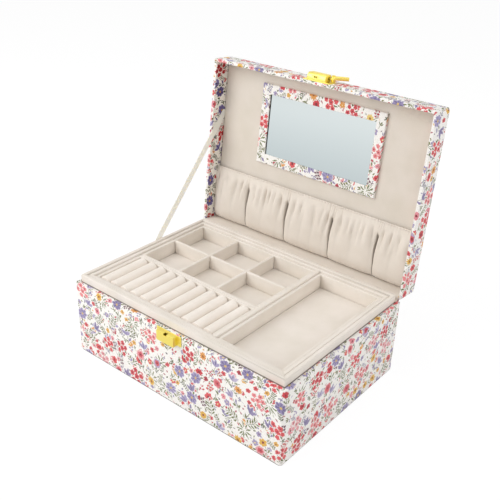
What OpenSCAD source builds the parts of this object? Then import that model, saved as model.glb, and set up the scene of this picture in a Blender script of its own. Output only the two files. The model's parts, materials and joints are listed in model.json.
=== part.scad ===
// Vanity box with a mirror in its lid, a lift-out tray and a small lever clasp.
// Millimetres. +X is to the right of someone in front of the box, +Y is towards
// the hinge, +Z is up. The origin is the middle of the box's underside.
// The lid stands open; its pieces are drawn closed and then turned about the hinge.

/* [Base box] */
// Width of the box over its cloth
body_w = 260; // [230:1:300]
// Depth of the box over its cloth
body_d = 186; // [170:1:220]
// Height of the base wall
shell_h = 79.5; // [65:0.5:100]
// Thickness of the base wall's board
board_t = 3.3; // [2.8:0.1:4]
// Thickness of the printed cloth and its paper backing
cloth_t = 0.6; // [0.5:0.1:0.8]
// Radius of the box's upright corners
corner_r = 3; // [2:0.5:5]
// Thickness of the bottom board
bottom_t = 3; // [2:0.5:5]
// Thickness of the sheet under the box
sheet_t = 0.8; // [0.5:0.1:1.5]
// How far the sheet stays back from the box's edge
sheet_inset = 0.7; // [0.5:0.1:4]
// Width of the cloth turned in under the box
turn_in = 14; // [8:1:25]

/* [Collar and lower compartment] */
// Thickness of a collar board in its velvet
collar_t = 4; // [3:0.5:5]
// Height of the collar above the base wall
collar_rise = 8.1; // [5:0.1:9]
// Radius along the top edges of velvet boards
edge_r = 1.2; // [0.6:0.1:1.4]
// Thickness of the boards that carry the tray
rest_t = 3; // [2:0.5:5]
// Thickness of the padded floor
floor_pad_t = 2.5; // [1:0.5:5]

/* [Tray] */
// Gap between the tray and the collar
tray_gap = 0.6; // [0.4:0.1:1.2]
// Gap between the tray and the boards below it
seat_gap = 0.3; // [0.2:0.05:0.5]
// How far the tray's rim lies below the collar's
tray_drop = 1; // [0.5:0.1:3]
// Depth inside the tray
tray_depth = 16.6; // [12:0.2:24]
// Thickness of the tray's outer walls and partition
tray_wall = 4.2; // [3:0.1:5]
// Thickness of the tray's floor board
tray_floor_t = 2.4; // [1.6:0.2:4]
// Thickness of the velvet pads on the tray's floor
pad_t = 1.2; // [0.8:0.1:2]
// Width of the left half, from wall to partition
left_bay_w = 156.2; // [140:0.2:165]
// Depth of the bay that holds the ring rolls
roll_bay_d = 62.5; // [50:0.5:75]

/* [Inserts] */
// Thickness of an insert's walls
insert_t = 3.6; // [2.4:0.1:4.4]
// How far the inserts lie below the tray's rim
insert_drop = 1.8; // [0.8:0.1:3]
// Thickness of the dividers
divider_t = 3.4; // [2.4:0.1:4.4]
// Number of ring rolls
roll_count = 11; // [11]
// Gap between two rolls
roll_gap = 0.3; // [0.2:0.05:0.6]
// How far the rolls' crowns lie below the tray's rim
roll_drop = 0.4; // [0.2:0.1:2]
// Height of a roll's rounded crown
roll_crown = 5.6; // [4:0.1:7]
// How far a roll's foot is drawn in on each side
roll_draw = 0.7; // [0.2:0.1:1.2]
// Length of a roll's rounded end
roll_end = 5; // [3:0.5:8]

/* [Lid] */
// Height of the lid
lid_h = 24.9; // [22:0.1:30]
// Thickness of the lid wall's board
lid_board_t = 2.4; // [1.8:0.1:2.6]
// Thickness of the lid's top board
lid_top_t = 3.4; // [2.4:0.1:5]
// Thickness of the velvet panel inside the lid
panel_t = 2; // [1.6:0.1:3]
// Gap between the closed lid and the base
lid_gap = 0.3; // [0.2:0.05:0.6]
// Angle at which the ribbon stops the lid
lid_open = 95.3; // [85:0.1:100]
// How far the hinge line lies behind the box
hinge_out = 0.65; // [0.4:0.05:1]
// Height of the hinge line above the base wall
hinge_up = 1; // [0.8:0.05:1.3]
// Width of each tail of the outer hinge cloth
hinge_tail = 14; // [8:0.5:18]
// Thickness of the hinge cloth and lining
hinge_t = 0.5; // [0.4:0.05:0.6]

/* [Mirror] */
// Width of the mirror's frame
mirror_w = 148; // [120:1:170]
// Height of the mirror's frame on the panel
mirror_d = 85; // [70:1:90]
// Width of the frame's bars
mirror_bar = 10.5; // [8:0.5:14]
// How far the frame stands off the panel
mirror_rise = 3.2; // [3:0.1:4]
// Distance from the front of the panel to the frame
mirror_edge = 13.2; // [8:0.1:14]
// Thickness of the glass
glass_t = 1.4; // [1:0.1:1.6]
// Thickness of the card behind the glass
card_t = 0.4; // [0.3:0.1:0.6]
// How far the frame laps over the glass
glass_lap = 3; // [2:0.5:4]
// Clearance round the glass
glass_gap = 0.2; // [0.1:0.05:0.4]

/* [Pockets] */
// Height of the pockets on the panel
pocket_h = 60.5; // [50:0.5:62]
// Width of the two end pockets
end_pocket_w = 43.6; // [38:0.2:48]
// Width of the pockets next to them
side_pocket_w = 54; // [48:0.2:56]
// How far the sewn valleys lie to the right of an even layout
pocket_shift = 3.8; // [0:0.1:5]
// Thickness of the pocket cloth
pocket_cloth_t = 0.7; // [0.5:0.1:1]
// How far the pockets belly off the panel
pocket_belly = 8.4; // [7:0.1:8.6]
// Height of the pocket's mouth off the panel
pocket_mouth = 2.4; // [2:0.1:4]
// Length below the hem over which the sewn valleys deepen
valley_run = 16; // [8:1:24]
// Width of the elastic hem
hem_w = 6.5; // [5:0.5:8]
// Thickness of the elastic hem
hem_t = 1.2; // [1:0.1:1.4]

/* [Ribbon stay] */
// Width of the ribbon
ribbon_w = 7.5; // [6:0.5:10]
// Thickness of the ribbon
ribbon_t = 0.4; // [0.3:0.05:0.4]
// Distance of its foot in front of the hinge line
ribbon_foot = 76.6; // [60:0.2:90]
// Distance of its head in front of the hinge line, on the closed lid
ribbon_head = 128.4; // [110:0.2:140]
// Length of the ribbon that is tucked in behind the collar
ribbon_tuck = 12; // [8:1:20]

/* [Clasp] */
// Width of the clasp's plates
plate_w = 30; // [28:1:36]
// Height of the base plate
plate_h = 10.2; // [10:0.1:14]
// Thickness of the plates
plate_t = 0.8; // [0.6:0.1:1.2]
// Width of the catch and of the housing
catch_w = 21; // [20:0.5:23]
// Height of the catch
catch_h = 9.8; // [9:0.1:10]
// How far the catch stands off the box
catch_rise = 6; // [5.6:0.1:7]
// How far the housing stands off the lid
housing_rise = 7.6; // [7.4:0.1:9]
// Size of the bevel along the housing's lower edge
housing_bevel = 1.8; // [1.5:0.1:2.6]
// Thickness of the catch's and the housing's metal
metal_t = 0.8; // [0.8:0.1:1.2]
// Angle through which the lever turns to lock
lever_turn = 24; // [20:1:26]
// Angle of the lever's arm above the level, unlocked
lever_tilt = 40; // [30:1:50]
// Length of the lever's arm from its pivot
lever_len = 15; // [12:0.5:18]
// Radius of the lever's hub
hub_r = 2.3; // [2.1:0.1:2.5]
// Radius of the pivot pin
pin_r = 1.1; // [0.9:0.1:1.3]
// Clearance of the pin in the hub
pin_fit = 0.05; // [0.03:0.01:0.1]
// Width of the hook
hook_w = 1.8; // [1.6:0.1:3]
// Clearance round the hook in the catch's slot
hook_gap = 0.3; // [0.3:0.05:0.6]
// Radius of a rivet's head
rivet_r = 1.3; // [1:0.1:1.5]

/* [Hidden] */
$fn = 32;
eps = 0.01;

wall_t = board_t + 2 * cloth_t;
inner_w = body_w - 2 * wall_t;
inner_d = body_d - 2 * wall_t;
board_z = sheet_t + cloth_t;
floor_z = board_z + bottom_t;
collar_z = shell_h + collar_rise;

tray_w = inner_w - 2 * collar_t - 2 * tray_gap;
tray_d = inner_d - 2 * collar_t - 2 * tray_gap;
rim_z = collar_z - tray_drop;
pad_z = rim_z - tray_depth;
tray_board_z = pad_z - pad_t;
tray_z = tray_board_z - tray_floor_t;
bay_w = tray_w - 2 * tray_wall;
bay_d = tray_d - 2 * tray_wall;
insert_z = rim_z - insert_drop;
insert_h = insert_z - tray_board_z;
left_x = -bay_w / 2;
partition_x = left_x + left_bay_w;
well_x = partition_x + tray_wall;
well_w = bay_w / 2 - well_x;
seam_y = -bay_d / 2 + roll_bay_d;
grid_d = bay_d - roll_bay_d;
grid_x = left_x + left_bay_w / 2;
grid_y = seam_y + grid_d / 2;
grid_in_w = left_bay_w - 2 * insert_t;
grid_in_d = grid_d - 2 * insert_t;
divider_h = insert_z - pad_z;
columns = 3;

roll_y = (-bay_d / 2 + seam_y) / 2;
roll_len = roll_bay_d - 2 * insert_t - 2 * roll_gap;
roll_pitch = grid_in_w / roll_count;
roll_w = roll_pitch - roll_gap;
roll_h = rim_z - roll_drop - pad_z;
roll_sides = 10;
roll_steps = 4;

lid_z = shell_h + lid_gap;
lid_top_z = lid_z + lid_h;
lid_wall = lid_board_t + 2 * cloth_t;
lid_in_w = body_w - 2 * lid_wall;
lid_in_d = body_d - 2 * lid_wall;
lid_board_z = lid_top_z - cloth_t - lid_top_t;
panel_z = lid_board_z - panel_t;
panel_w = lid_in_w - 2 * eps;
hinge_y = body_d / 2 + hinge_out;
hinge_z = shell_h + hinge_up;

mirror_y = -lid_in_d / 2 + mirror_edge + mirror_d / 2;
glass_w = mirror_w - 2 * mirror_bar + 2 * glass_lap;
glass_d = mirror_d - 2 * mirror_bar + 2 * glass_lap;

pocket_w = panel_w - 0.4;
pocket_foot_y = lid_in_d / 2 - hinge_t - 0.9;
pocket_top_y = pocket_foot_y - pocket_h;
seams = [
    -pocket_w / 2,
    -pocket_w / 2 + end_pocket_w + pocket_shift,
    -pocket_w / 2 + end_pocket_w + side_pocket_w + pocket_shift,
    pocket_w / 2 - end_pocket_w - side_pocket_w + pocket_shift,
    pocket_w / 2 - end_pocket_w + pocket_shift,
    pocket_w / 2
];
folds_across = 12;
folds_down = 7;

ribbon_x = -inner_w / 2 - ribbon_t - 0.1;
ribbon_foot_y = hinge_y - ribbon_foot;
ribbon_head_y = hinge_y - ribbon_head;
ribbon_slot = 0.5;
ribbon_tail = 1.6;
ribbon_fit = 0.3;
ribbon_foot_at = [ribbon_foot_y, collar_z - edge_r];
ribbon_over = 20;

face_y = -body_d / 2;
plate_z = shell_h - plate_h - 0.1;
catch_z = shell_h - catch_h - 0.2;
housing_z = lid_z + 0.4;
pivot_x = catch_w / 2 + hub_r + 0.4;
pivot_z = housing_z + catch_h + 0.4;
lid_plate_h = pivot_z + hub_r - housing_z;
lid_plate_right = pivot_x + hub_r;
hub_y = 1.1;
hub_len = housing_rise - hub_y - 0.8;
arm_y = 3.4;
arm_t = 1.5;
arm_top = 1.8;
arm_low = 3;
notch_deep = 2;
hook_r = norm([pivot_x, pivot_z - catch_z - catch_h]);
hook_root = 2;
hook_end = 0.8;
hook_tip = asin((pivot_z - housing_z - hook_end) / (hook_r + hook_w / 2));
lever_t = 2.2;
lever_root_t = 4;
lever_deep = 3.6;
rivet_x = (plate_w / 2 + catch_w / 2) / 2;
rivet_shank_r = 0.8;
rivet_len = board_t + cloth_t;
lid_rivet_len = lid_board_t + cloth_t;

velvet = "#e6ddd0";
velvet_shade = "#d9cfc0";
print_cloth = "#efe4e6";
card = "#b9a58a";
gold = "#d9b233";

// ---- shared shapes ----

// Rectangle with round corners
module round_rect(w, d, r) {
    square([w - 2 * r, d], center = true);
    square([w, d - 2 * r], center = true);
    for (x = [-1, 1], y = [-1, 1]) {
        translate([x * (w / 2 - r), y * (d / 2 - r)]) circle(r);
    }
}

module round_box(w, d, h, r) {
    linear_extrude(h) round_rect(w, d, r);
}

// Section of a board in its cover, with a soft top edge
module board_section(t, h, r) {
    square([t, h - r]);
    translate([r, 0]) square([t - 2 * r, h]);
    for (x = [r, t - r]) {
        translate([x, h - r]) circle(r);
    }
}

// One mitred side of a frame: 0 front, 1 right, 2 back, 3 left
module frame_side(side, w, d, t, h, r) {
    across = side % 2 == 0;
    length = across ? w : d;
    reach = across ? d : w;
    rotate([0, 0, 90 * side]) translate([0, -reach / 2, 0]) intersection() {
        translate([-length / 2, 0, 0]) rotate([90, 0, 90]) linear_extrude(length)
            board_section(t, h, r);
        linear_extrude(h) polygon([
            [-length / 2, 0], [length / 2, 0], [length / 2 - t, t], [-length / 2 + t, t]
        ]);
    }
}

module whole_frame(w, d, t, h, r) {
    linear_extrude(h - r) difference() {
        square([w, d], center = true);
        square([w - 2 * t, d - 2 * t], center = true);
    }
    for (side = [0:3]) {
        frame_side(side, w, d, t, h, r);
    }
}

// Turns a piece drawn on the closed lid to the open lid
module on_open_lid() {
    translate([0, hinge_y, hinge_z]) rotate([-lid_open, 0, 0])
        translate([0, -hinge_y, -hinge_z]) children();
}

// A round bar along Y, from y0 towards the back of the box
module bar_y(x, y0, z, r, length) {
    translate([x, y0 + length, z]) rotate([90, 0, 0]) cylinder(r = r, h = length);
}

// ---- base box ----

module base_carcass() {
    outer_w = body_w - 2 * cloth_t;
    outer_d = body_d - 2 * cloth_t;
    color(card) difference() {
        translate([0, 0, board_z])
            round_box(outer_w, outer_d, shell_h - cloth_t - board_z, corner_r - cloth_t);
        translate([0, 0, floor_z])
            linear_extrude(shell_h)
                square([outer_w - 2 * board_t, outer_d - 2 * board_t], center = true);
        rivet_holes(plate_z + plate_h / 2, rivet_len);
    }
}

module base_cover() {
    outer_w = body_w - 2 * cloth_t;
    outer_d = body_d - 2 * cloth_t;
    board_top = shell_h - cloth_t;
    color(print_cloth) difference() {
        translate([0, 0, sheet_t]) round_box(body_w, body_d, shell_h - sheet_t, corner_r);
        difference() {
            translate([0, 0, board_z])
                round_box(outer_w, outer_d, board_top - board_z, corner_r - cloth_t);
            translate([0, 0, floor_z]) linear_extrude(shell_h)
                square([outer_w - 2 * board_t, outer_d - 2 * board_t], center = true);
        }
        translate([0, 0, floor_z]) linear_extrude(shell_h)
            square([inner_w, inner_d], center = true);
        linear_extrude(floor_z)
            square([body_w - 2 * turn_in, body_d - 2 * turn_in], center = true);
        translate([-inner_w / 2 - ribbon_slot - eps, ribbon_foot_y - ribbon_w / 2 - 0.3,
            shell_h - ribbon_tuck])
            cube([ribbon_slot + 2 * eps, ribbon_w + 0.6, ribbon_tuck + eps]);
        rivet_holes(plate_z + plate_h / 2, rivet_len);
    }
}

module bottom_sheet() {
    color(card) round_box(body_w - 2 * sheet_inset, body_d - 2 * sheet_inset, sheet_t, corner_r);
}

module collar(side) {
    color(velvet) translate([0, 0, floor_z])
        frame_side(side, inner_w, inner_d, collar_t, collar_z - floor_z, edge_r);
}

module floor_pad() {
    color(velvet_shade) translate([0, 0, floor_z]) linear_extrude(floor_pad_t)
        square([inner_w - 2 * collar_t - 2 * rest_t, inner_d - 2 * collar_t - 2 * rest_t],
            center = true);
}

module tray_rest(side) {
    color(velvet) translate([0, 0, floor_z])
        frame_side(side, inner_w - 2 * collar_t, inner_d - 2 * collar_t, rest_t,
            tray_z - seat_gap - floor_z, edge_r);
}

// ---- lift-out tray ----

module tray_floor() {
    color(velvet_shade) translate([-tray_w / 2, -tray_d / 2, tray_z])
        cube([tray_w, tray_d, tray_floor_t]);
}

module tray_side(side) {
    color(velvet) translate([0, 0, tray_board_z])
        frame_side(side, tray_w, tray_d, tray_wall, rim_z - tray_board_z, edge_r);
}

module tray_partition() {
    color(velvet) translate([partition_x, bay_d / 2, tray_board_z]) rotate([90, 0, 0])
        linear_extrude(bay_d) board_section(tray_wall, rim_z - tray_board_z, edge_r);
}

module grid_frame() {
    color(velvet) translate([grid_x, grid_y, tray_board_z])
        whole_frame(left_bay_w, grid_d, insert_t, insert_h, edge_r);
}

// The dividers cross in half laps: the long one is open above, the short ones below
module grid_long_divider() {
    color(velvet) difference() {
        translate([grid_x - grid_in_w / 2, grid_y - divider_t / 2, pad_z])
            rotate([90, 0, 90]) linear_extrude(grid_in_w)
                board_section(divider_t, divider_h, edge_r);
        for (i = [1:columns - 1]) {
            translate([cross_x(i) - divider_t / 2, grid_y - divider_t, pad_z + divider_h / 2])
                cube([divider_t, 2 * divider_t, divider_h]);
        }
    }
}

function cross_x(i) = grid_x - grid_in_w / 2 + i * grid_in_w / columns;

module grid_cross(i) {
    color(velvet) difference() {
        translate([cross_x(i) - divider_t / 2, grid_y + grid_in_d / 2, pad_z])
            rotate([90, 0, 0]) linear_extrude(grid_in_d)
                board_section(divider_t, divider_h, edge_r);
        translate([cross_x(i) - divider_t, grid_y - divider_t / 2, pad_z - eps])
            cube([2 * divider_t, divider_t, divider_h / 2 + eps]);
    }
}

module grid_pad() {
    color(velvet_shade) translate([grid_x, grid_y, tray_board_z]) linear_extrude(pad_t)
        square([grid_in_w, grid_in_d], center = true);
}

module roll_frame() {
    color(velvet) translate([grid_x, roll_y, tray_board_z])
        whole_frame(left_bay_w, roll_bay_d, insert_t, insert_h, edge_r);
}

module roll_bed() {
    color(velvet_shade) translate([grid_x, roll_y, tray_board_z]) linear_extrude(pad_t)
        square([grid_in_w, roll_bay_d - 2 * insert_t], center = true);
}

// Half of a roll's section, from its foot over the crown, as [x, z] at full size
function roll_section() = concat(
    [[-roll_w / 2 + roll_draw, 0]],
    [for (i = [0:roll_sides])
        let (a = 180 - 180 * i / roll_sides)
        [roll_w / 2 * cos(a), roll_h - roll_crown + roll_crown * sin(a)]],
    [[roll_w / 2 - roll_draw, 0]]
);

// Stations along half of a roll: [distance from its middle, share of the full section]
function roll_stations() = let (half = roll_len / 2) [
    for (i = [0:roll_steps])
        let (a = 90 * i / roll_steps)
        [half - roll_end + roll_end * sin(a), 0.62 + 0.38 * cos(a)]
];

module ring_roll(n) {
    section = roll_section();
    ends = roll_stations();
    count = len(section);
    rings = concat(
        [for (i = [roll_steps:-1:0]) [-ends[i][0], ends[i][1]]],
        ends
    );
    points = [for (ring = rings) for (p = section)
        [p[0] * (0.4 + 0.6 * ring[1]), ring[0], p[1] * ring[1]]];
    last = len(rings) - 1;
    faces = concat(
        [for (k = [1:count - 2]) [0, k, k + 1]],
        [for (k = [1:count - 2]) [last * count, last * count + k + 1, last * count + k]],
        [for (j = [0:last - 1]) for (k = [0:count - 1])
            let (a = j * count + k, b = j * count + (k + 1) % count)
            [a, a + count, b + count]],
        [for (j = [0:last - 1]) for (k = [0:count - 1])
            let (a = j * count + k, b = j * count + (k + 1) % count)
            [a, b + count, b]]
    );
    x = grid_x - grid_in_w / 2 + (n - 0.5) * roll_pitch;
    color(velvet) translate([x, roll_y, pad_z]) polyhedron(points, faces);
}

module well_frame() {
    color(velvet) translate([well_x + well_w / 2, 0, tray_board_z])
        whole_frame(well_w, bay_d, insert_t, insert_h, edge_r);
}

module well_pad() {
    color(velvet_shade) translate([well_x + well_w / 2, 0, tray_board_z]) linear_extrude(pad_t)
        square([well_w - 2 * insert_t, bay_d - 2 * insert_t], center = true);
}

// ---- lid ----

// The board walls and top of the lid
module lid_boards() {
    outer_w = body_w - 2 * cloth_t;
    outer_d = body_d - 2 * cloth_t;
    difference() {
        translate([0, 0, lid_z + cloth_t])
            round_box(outer_w, outer_d, lid_h - 2 * cloth_t, corner_r - cloth_t);
        translate([0, 0, lid_z]) linear_extrude(lid_board_z - lid_z)
            square([outer_w - 2 * lid_board_t, outer_d - 2 * lid_board_t], center = true);
    }
}

module lid_carcass() {
    color(card) on_open_lid() difference() {
        lid_boards();
        lid_holes();
    }
}

module lid_cover() {
    color(print_cloth) on_open_lid() difference() {
        translate([0, 0, lid_z]) round_box(body_w, body_d, lid_h, corner_r);
        lid_boards();
        translate([0, 0, lid_z - eps]) linear_extrude(lid_board_z - lid_z + eps)
            square([lid_in_w, lid_in_d], center = true);
        lid_holes();
    }
}

module lid_panel() {
    color(velvet) difference() {
        on_open_lid() translate([0, 0, panel_z]) linear_extrude(panel_t)
            square([panel_w, lid_in_d - 2 * eps], center = true);
        translate([ribbon_x - ribbon_fit, 0, 0]) rotate([90, 0, 90])
            linear_extrude(ribbon_t + 2 * ribbon_fit) ribbon_line(ribbon_fit);
    }
}

module hinge_lining() {
    color(velvet) on_open_lid()
        translate([-lid_in_w / 2, lid_in_d / 2 - hinge_t, lid_z])
            cube([lid_in_w, hinge_t, panel_z - lid_z]);
}

// One tail lies on the back of the base, the other on the back of the lid
module hinge_cloth() {
    tail_w = body_w - 2 * corner_r;
    color(print_cloth) union() {
        translate([-tail_w / 2, body_d / 2, shell_h - hinge_tail])
            cube([tail_w, hinge_t, hinge_tail + hinge_up + hinge_t]);
        on_open_lid() translate([-tail_w / 2, body_d / 2, lid_z])
            cube([tail_w, hinge_t, hinge_tail]);
    }
}

module mirror_frame() {
    color(print_cloth) on_open_lid() difference() {
        translate([0, mirror_y, panel_z]) mirror([0, 0, 1])
            whole_frame(mirror_w, mirror_d, mirror_bar, mirror_rise, edge_r);
        translate([0, mirror_y, panel_z - card_t - glass_t]) linear_extrude(card_t + glass_t + eps)
            square([glass_w + 2 * glass_gap, glass_d + 2 * glass_gap], center = true);
    }
}

module mirror_glass() {
    color("#b9c3c9") on_open_lid() translate([0, mirror_y, panel_z - card_t - glass_t])
        linear_extrude(glass_t) square([glass_w, glass_d], center = true);
}

module mirror_card() {
    color(card) on_open_lid() translate([0, mirror_y, panel_z - card_t])
        linear_extrude(card_t) square([glass_w, glass_d], center = true);
}

// How far the pocket cloth's outer face stands off the panel: u runs across one
// pocket, v runs from the hem to the foot
function belly(v) = pocket_mouth + (pocket_belly - pocket_mouth) * sin(90 * min(1, v / 0.7));
function pucker(u, v) = 0.35 * (1 - v) * sin(90 * min(1, 6 * v)) * cos(360 * 3 * u);
function foot_round(v) = v < 0.72 ? 1 : sqrt(1 - pow((v - 0.72) / 0.285, 2));
function deepness(v) = sin(90 * min(1, v * (pocket_h - hem_w) / valley_run));
function valley(u, v) = 1 - deepness(v) * (1 - pow(abs(sin(180 * u)), 0.4));
function stand_off(u, v) = pocket_cloth_t + 0.05
    + (belly(v) - pocket_cloth_t - pucker(u, v)) * valley(u, v) * foot_round(v);

// Columns across the five pockets, as [x, share of the pocket's width]
columns_x = concat(
    [for (s = [0:len(seams) - 2]) for (i = [0:folds_across - 1])
        [seams[s] + i / folds_across * (seams[s + 1] - seams[s]), i / folds_across]],
    [[seams[len(seams) - 1], 1]]
);

// A sheet under the panel from rows of [x, y, stand-off of the outer face, thickness]
module hung_sheet(rows) {
    nu = len(rows[0]);
    nv = len(rows);
    inner = nu * nv;
    points = concat(
        [for (row = rows) for (p = row) [p[0], p[1], panel_z - p[2]]],
        [for (row = rows) for (p = row) [p[0], p[1], panel_z - p[2] + p[3]]]
    );
    quads = concat(
        [for (j = [0:nv - 2]) for (i = [0:nu - 2])
            let (a = j * nu + i) [a, a + nu, a + nu + 1, a + 1]],
        [for (j = [0:nv - 2]) for (i = [0:nu - 2])
            let (a = inner + j * nu + i) [a, a + 1, a + nu + 1, a + nu]],
        [for (i = [0:nu - 2]) [i, i + 1, inner + i + 1, inner + i]],
        [for (i = [0:nu - 2])
            let (a = (nv - 1) * nu + i) [a, inner + a, inner + a + 1, a + 1]],
        [for (j = [0:nv - 2]) let (a = j * nu) [a, inner + a, inner + a + nu, a + nu]],
        [for (j = [0:nv - 2])
            let (a = j * nu + nu - 1) [a, a + nu, inner + a + nu, inner + a]]
    );
    faces = [for (q = quads) for (t = [[q[0], q[1], q[2]], [q[0], q[2], q[3]]]) t];
    polyhedron(points, faces);
}

module pocket_cloth() {
    rows = [for (j = [0:folds_down]) [for (c = columns_x)
        [c[0], pocket_top_y + hem_w + j / folds_down * (pocket_h - hem_w),
            stand_off(c[1], j / folds_down), pocket_cloth_t]]];
    color(velvet) on_open_lid() hung_sheet(rows);
}

module pocket_hem() {
    proud = (hem_t - pocket_cloth_t) / 2;
    rows = [for (y = [0, hem_w]) [for (c = columns_x)
        let (off = stand_off(c[1], 0) + proud)
        [c[0], pocket_top_y + y, off, min(hem_t, off - 0.05)]]];
    color(velvet_shade) on_open_lid() hung_sheet(rows);
}

// ---- ribbon stay ----

// Where a point [y, z] of the closed lid lies when the lid is open
function turned(p) = let (dy = p[0] - hinge_y, dz = p[1] - hinge_z) [
    hinge_y + dy * cos(lid_open) + dz * sin(lid_open),
    hinge_z - dy * sin(lid_open) + dz * cos(lid_open)
];

// The straight line of the ribbon, from its foot to past the lid panel
module ribbon_line(gap) {
    run = turned([ribbon_head_y, panel_z]) - ribbon_foot_at;
    translate(ribbon_foot_at) rotate(atan2(run[1], run[0]))
        translate([0, -ribbon_w / 2 - gap])
            square([norm(run) + ribbon_over, ribbon_w + 2 * gap]);
}

// Flat and straight from its foot behind the collar to its head in the lid panel
module ribbon_stay() {
    color(velvet) translate([ribbon_x, 0, 0]) rotate([90, 0, 90]) linear_extrude(ribbon_t) {
        intersection() {
            ribbon_line(0);
            translate([hinge_y, hinge_z]) rotate(-lid_open) translate([-body_d, -2 * body_d])
                square([2 * body_d, 2 * body_d + panel_z + ribbon_tail - hinge_z]);
        }
        translate(ribbon_foot_at) circle(ribbon_w / 2 - 0.1);
        translate([ribbon_foot_y - ribbon_w / 2, shell_h - ribbon_tuck + 0.2])
            square([ribbon_w, ribbon_foot_at[1] - shell_h + ribbon_tuck - 0.2]);
    }
}

// ---- clasp ----

// Holes through the front wall for two rivets
module rivet_holes(z, length) {
    for (x = [-rivet_x, rivet_x]) {
        bar_y(x, face_y - plate_t - eps, z, rivet_shank_r, length + plate_t + eps);
    }
}

module rivet(x, z, length) {
    bar_y(x, face_y - plate_t, z, rivet_shank_r, length + plate_t);
    bar_y(x, face_y - plate_t - 0.5, z, rivet_r, 0.5);
}

module clasp_base_plate() {
    color(gold) difference() {
        translate([-plate_w / 2, face_y - plate_t, plate_z]) cube([plate_w, plate_t, plate_h]);
        rivet_holes(plate_z + plate_h / 2, rivet_len);
    }
}

// A length of the hook's arc about the pivot, between two angles below the level
module hook_arc(from, to, spare) {
    reach = 2 * hook_r;
    intersection() {
        difference() {
            circle(hook_r + hook_w / 2 + spare);
            circle(hook_r - hook_w / 2 - spare);
        }
        polygon([
            [0, 0],
            [-reach * cos(from), -reach * sin(from)],
            [-reach * cos(to), -reach * sin(to)]
        ]);
    }
}

// A block with a notch for the hook in its top edge, and a chamber behind the notch
// in which the hook swings under the block's top
module clasp_catch() {
    notch_left = -hook_w / 2 * hook_r / pivot_x - hook_gap;
    notch_right = pivot_x - sqrt(pow(hook_r, 2) - pow(pivot_z - catch_z - catch_h + metal_t, 2))
        - notch_left;
    chamber_right = pivot_x - (hook_r - hook_w / 2) * cos(hook_tip + lever_turn) + hook_gap;
    color(gold) difference() {
        translate([-catch_w / 2, face_y - catch_rise, catch_z])
            cube([catch_w, catch_rise - plate_t, catch_h]);
        translate([notch_left, face_y - arm_y - arm_t - hook_gap, catch_z + metal_t])
            cube([chamber_right - notch_left, arm_t + 2 * hook_gap, catch_h - 2 * metal_t]);
        translate([notch_left, face_y - catch_rise - eps, catch_z + catch_h - notch_deep])
            cube([notch_right - notch_left, catch_rise - arm_y + hook_gap, notch_deep + eps]);
    }
}

module clasp_base_rivets() {
    color(gold) for (x = [-rivet_x, rivet_x]) {
        rivet(x, plate_z + plate_h / 2, rivet_len);
    }
}

module clasp_lid_plate() {
    color(gold) on_open_lid() difference() {
        translate([-plate_w / 2, face_y - plate_t, housing_z])
            cube([plate_w / 2 + lid_plate_right, plate_t, lid_plate_h]);
        lid_holes();
    }
}

// A closed housing: a slot in its right end lets the arm in, and a slot in its mouth
// lets the hook through
module clasp_housing() {
    mouth_left = pivot_x - hook_gap
        - sqrt(pow(hook_r + hook_w / 2, 2) - pow(pivot_z - housing_z - metal_t, 2));
    hook_edge = sqrt(pow(hook_r - hook_w / 2, 2) - pow(pivot_z - housing_z, 2));
    arm_edge = (pivot_z - housing_z - metal_t - arm_low * cos(lever_turn)) / tan(lever_turn)
        - arm_low * sin(lever_turn);
    mouth_right = pivot_x - min(hook_edge, arm_edge) + hook_gap;
    end_reach = pivot_x - catch_w / 2 + metal_t;
    end_low = (end_reach + arm_low * sin(lever_turn)) * tan(lever_turn)
        + arm_low * cos(lever_turn) + hook_gap;
    end_high = arm_top - hook_gap;
    color(gold) on_open_lid() difference() {
        translate([catch_w / 2, face_y, housing_z]) rotate([0, -90, 0]) linear_extrude(catch_w)
            polygon([
                [0, -plate_t], [0, -housing_rise + housing_bevel],
                [housing_bevel, -housing_rise], [catch_h, -housing_rise], [catch_h, -plate_t]
            ]);
        translate([-catch_w / 2 + metal_t, face_y - arm_y - arm_t - hook_gap, housing_z + metal_t])
            cube([catch_w - 2 * metal_t, arm_t + 2 * hook_gap, catch_h - 2 * metal_t]);
        translate([0, face_y - arm_y - arm_t - hook_gap, pivot_z - end_low])
            cube([catch_w, arm_t + 2 * hook_gap, end_low - end_high]);
        translate([mouth_left, face_y - arm_y - arm_t - hook_gap, housing_z - eps])
            cube([mouth_right - mouth_left, arm_t + 2 * hook_gap, metal_t + 2 * eps]);
    }
}

// Holes through the lid's front wall for the rivet and the pivot pin
module lid_holes() {
    bar_y(-rivet_x, face_y - plate_t - eps, housing_z + catch_h / 2, rivet_shank_r,
        lid_rivet_len + plate_t + eps);
    bar_y(pivot_x, face_y - plate_t - eps, pivot_z, pin_r, lid_rivet_len + plate_t + eps);
}

module clasp_lid_rivet() {
    color(gold) on_open_lid() rivet(-rivet_x, housing_z + catch_h / 2, lid_rivet_len);
}

module clasp_pivot_pin() {
    color(gold) on_open_lid() {
        bar_y(pivot_x, face_y - housing_rise, pivot_z, pin_r, housing_rise + lid_rivet_len);
        bar_y(pivot_x, face_y - housing_rise, pivot_z, pin_r + 0.6, 0.5);
    }
}

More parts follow.
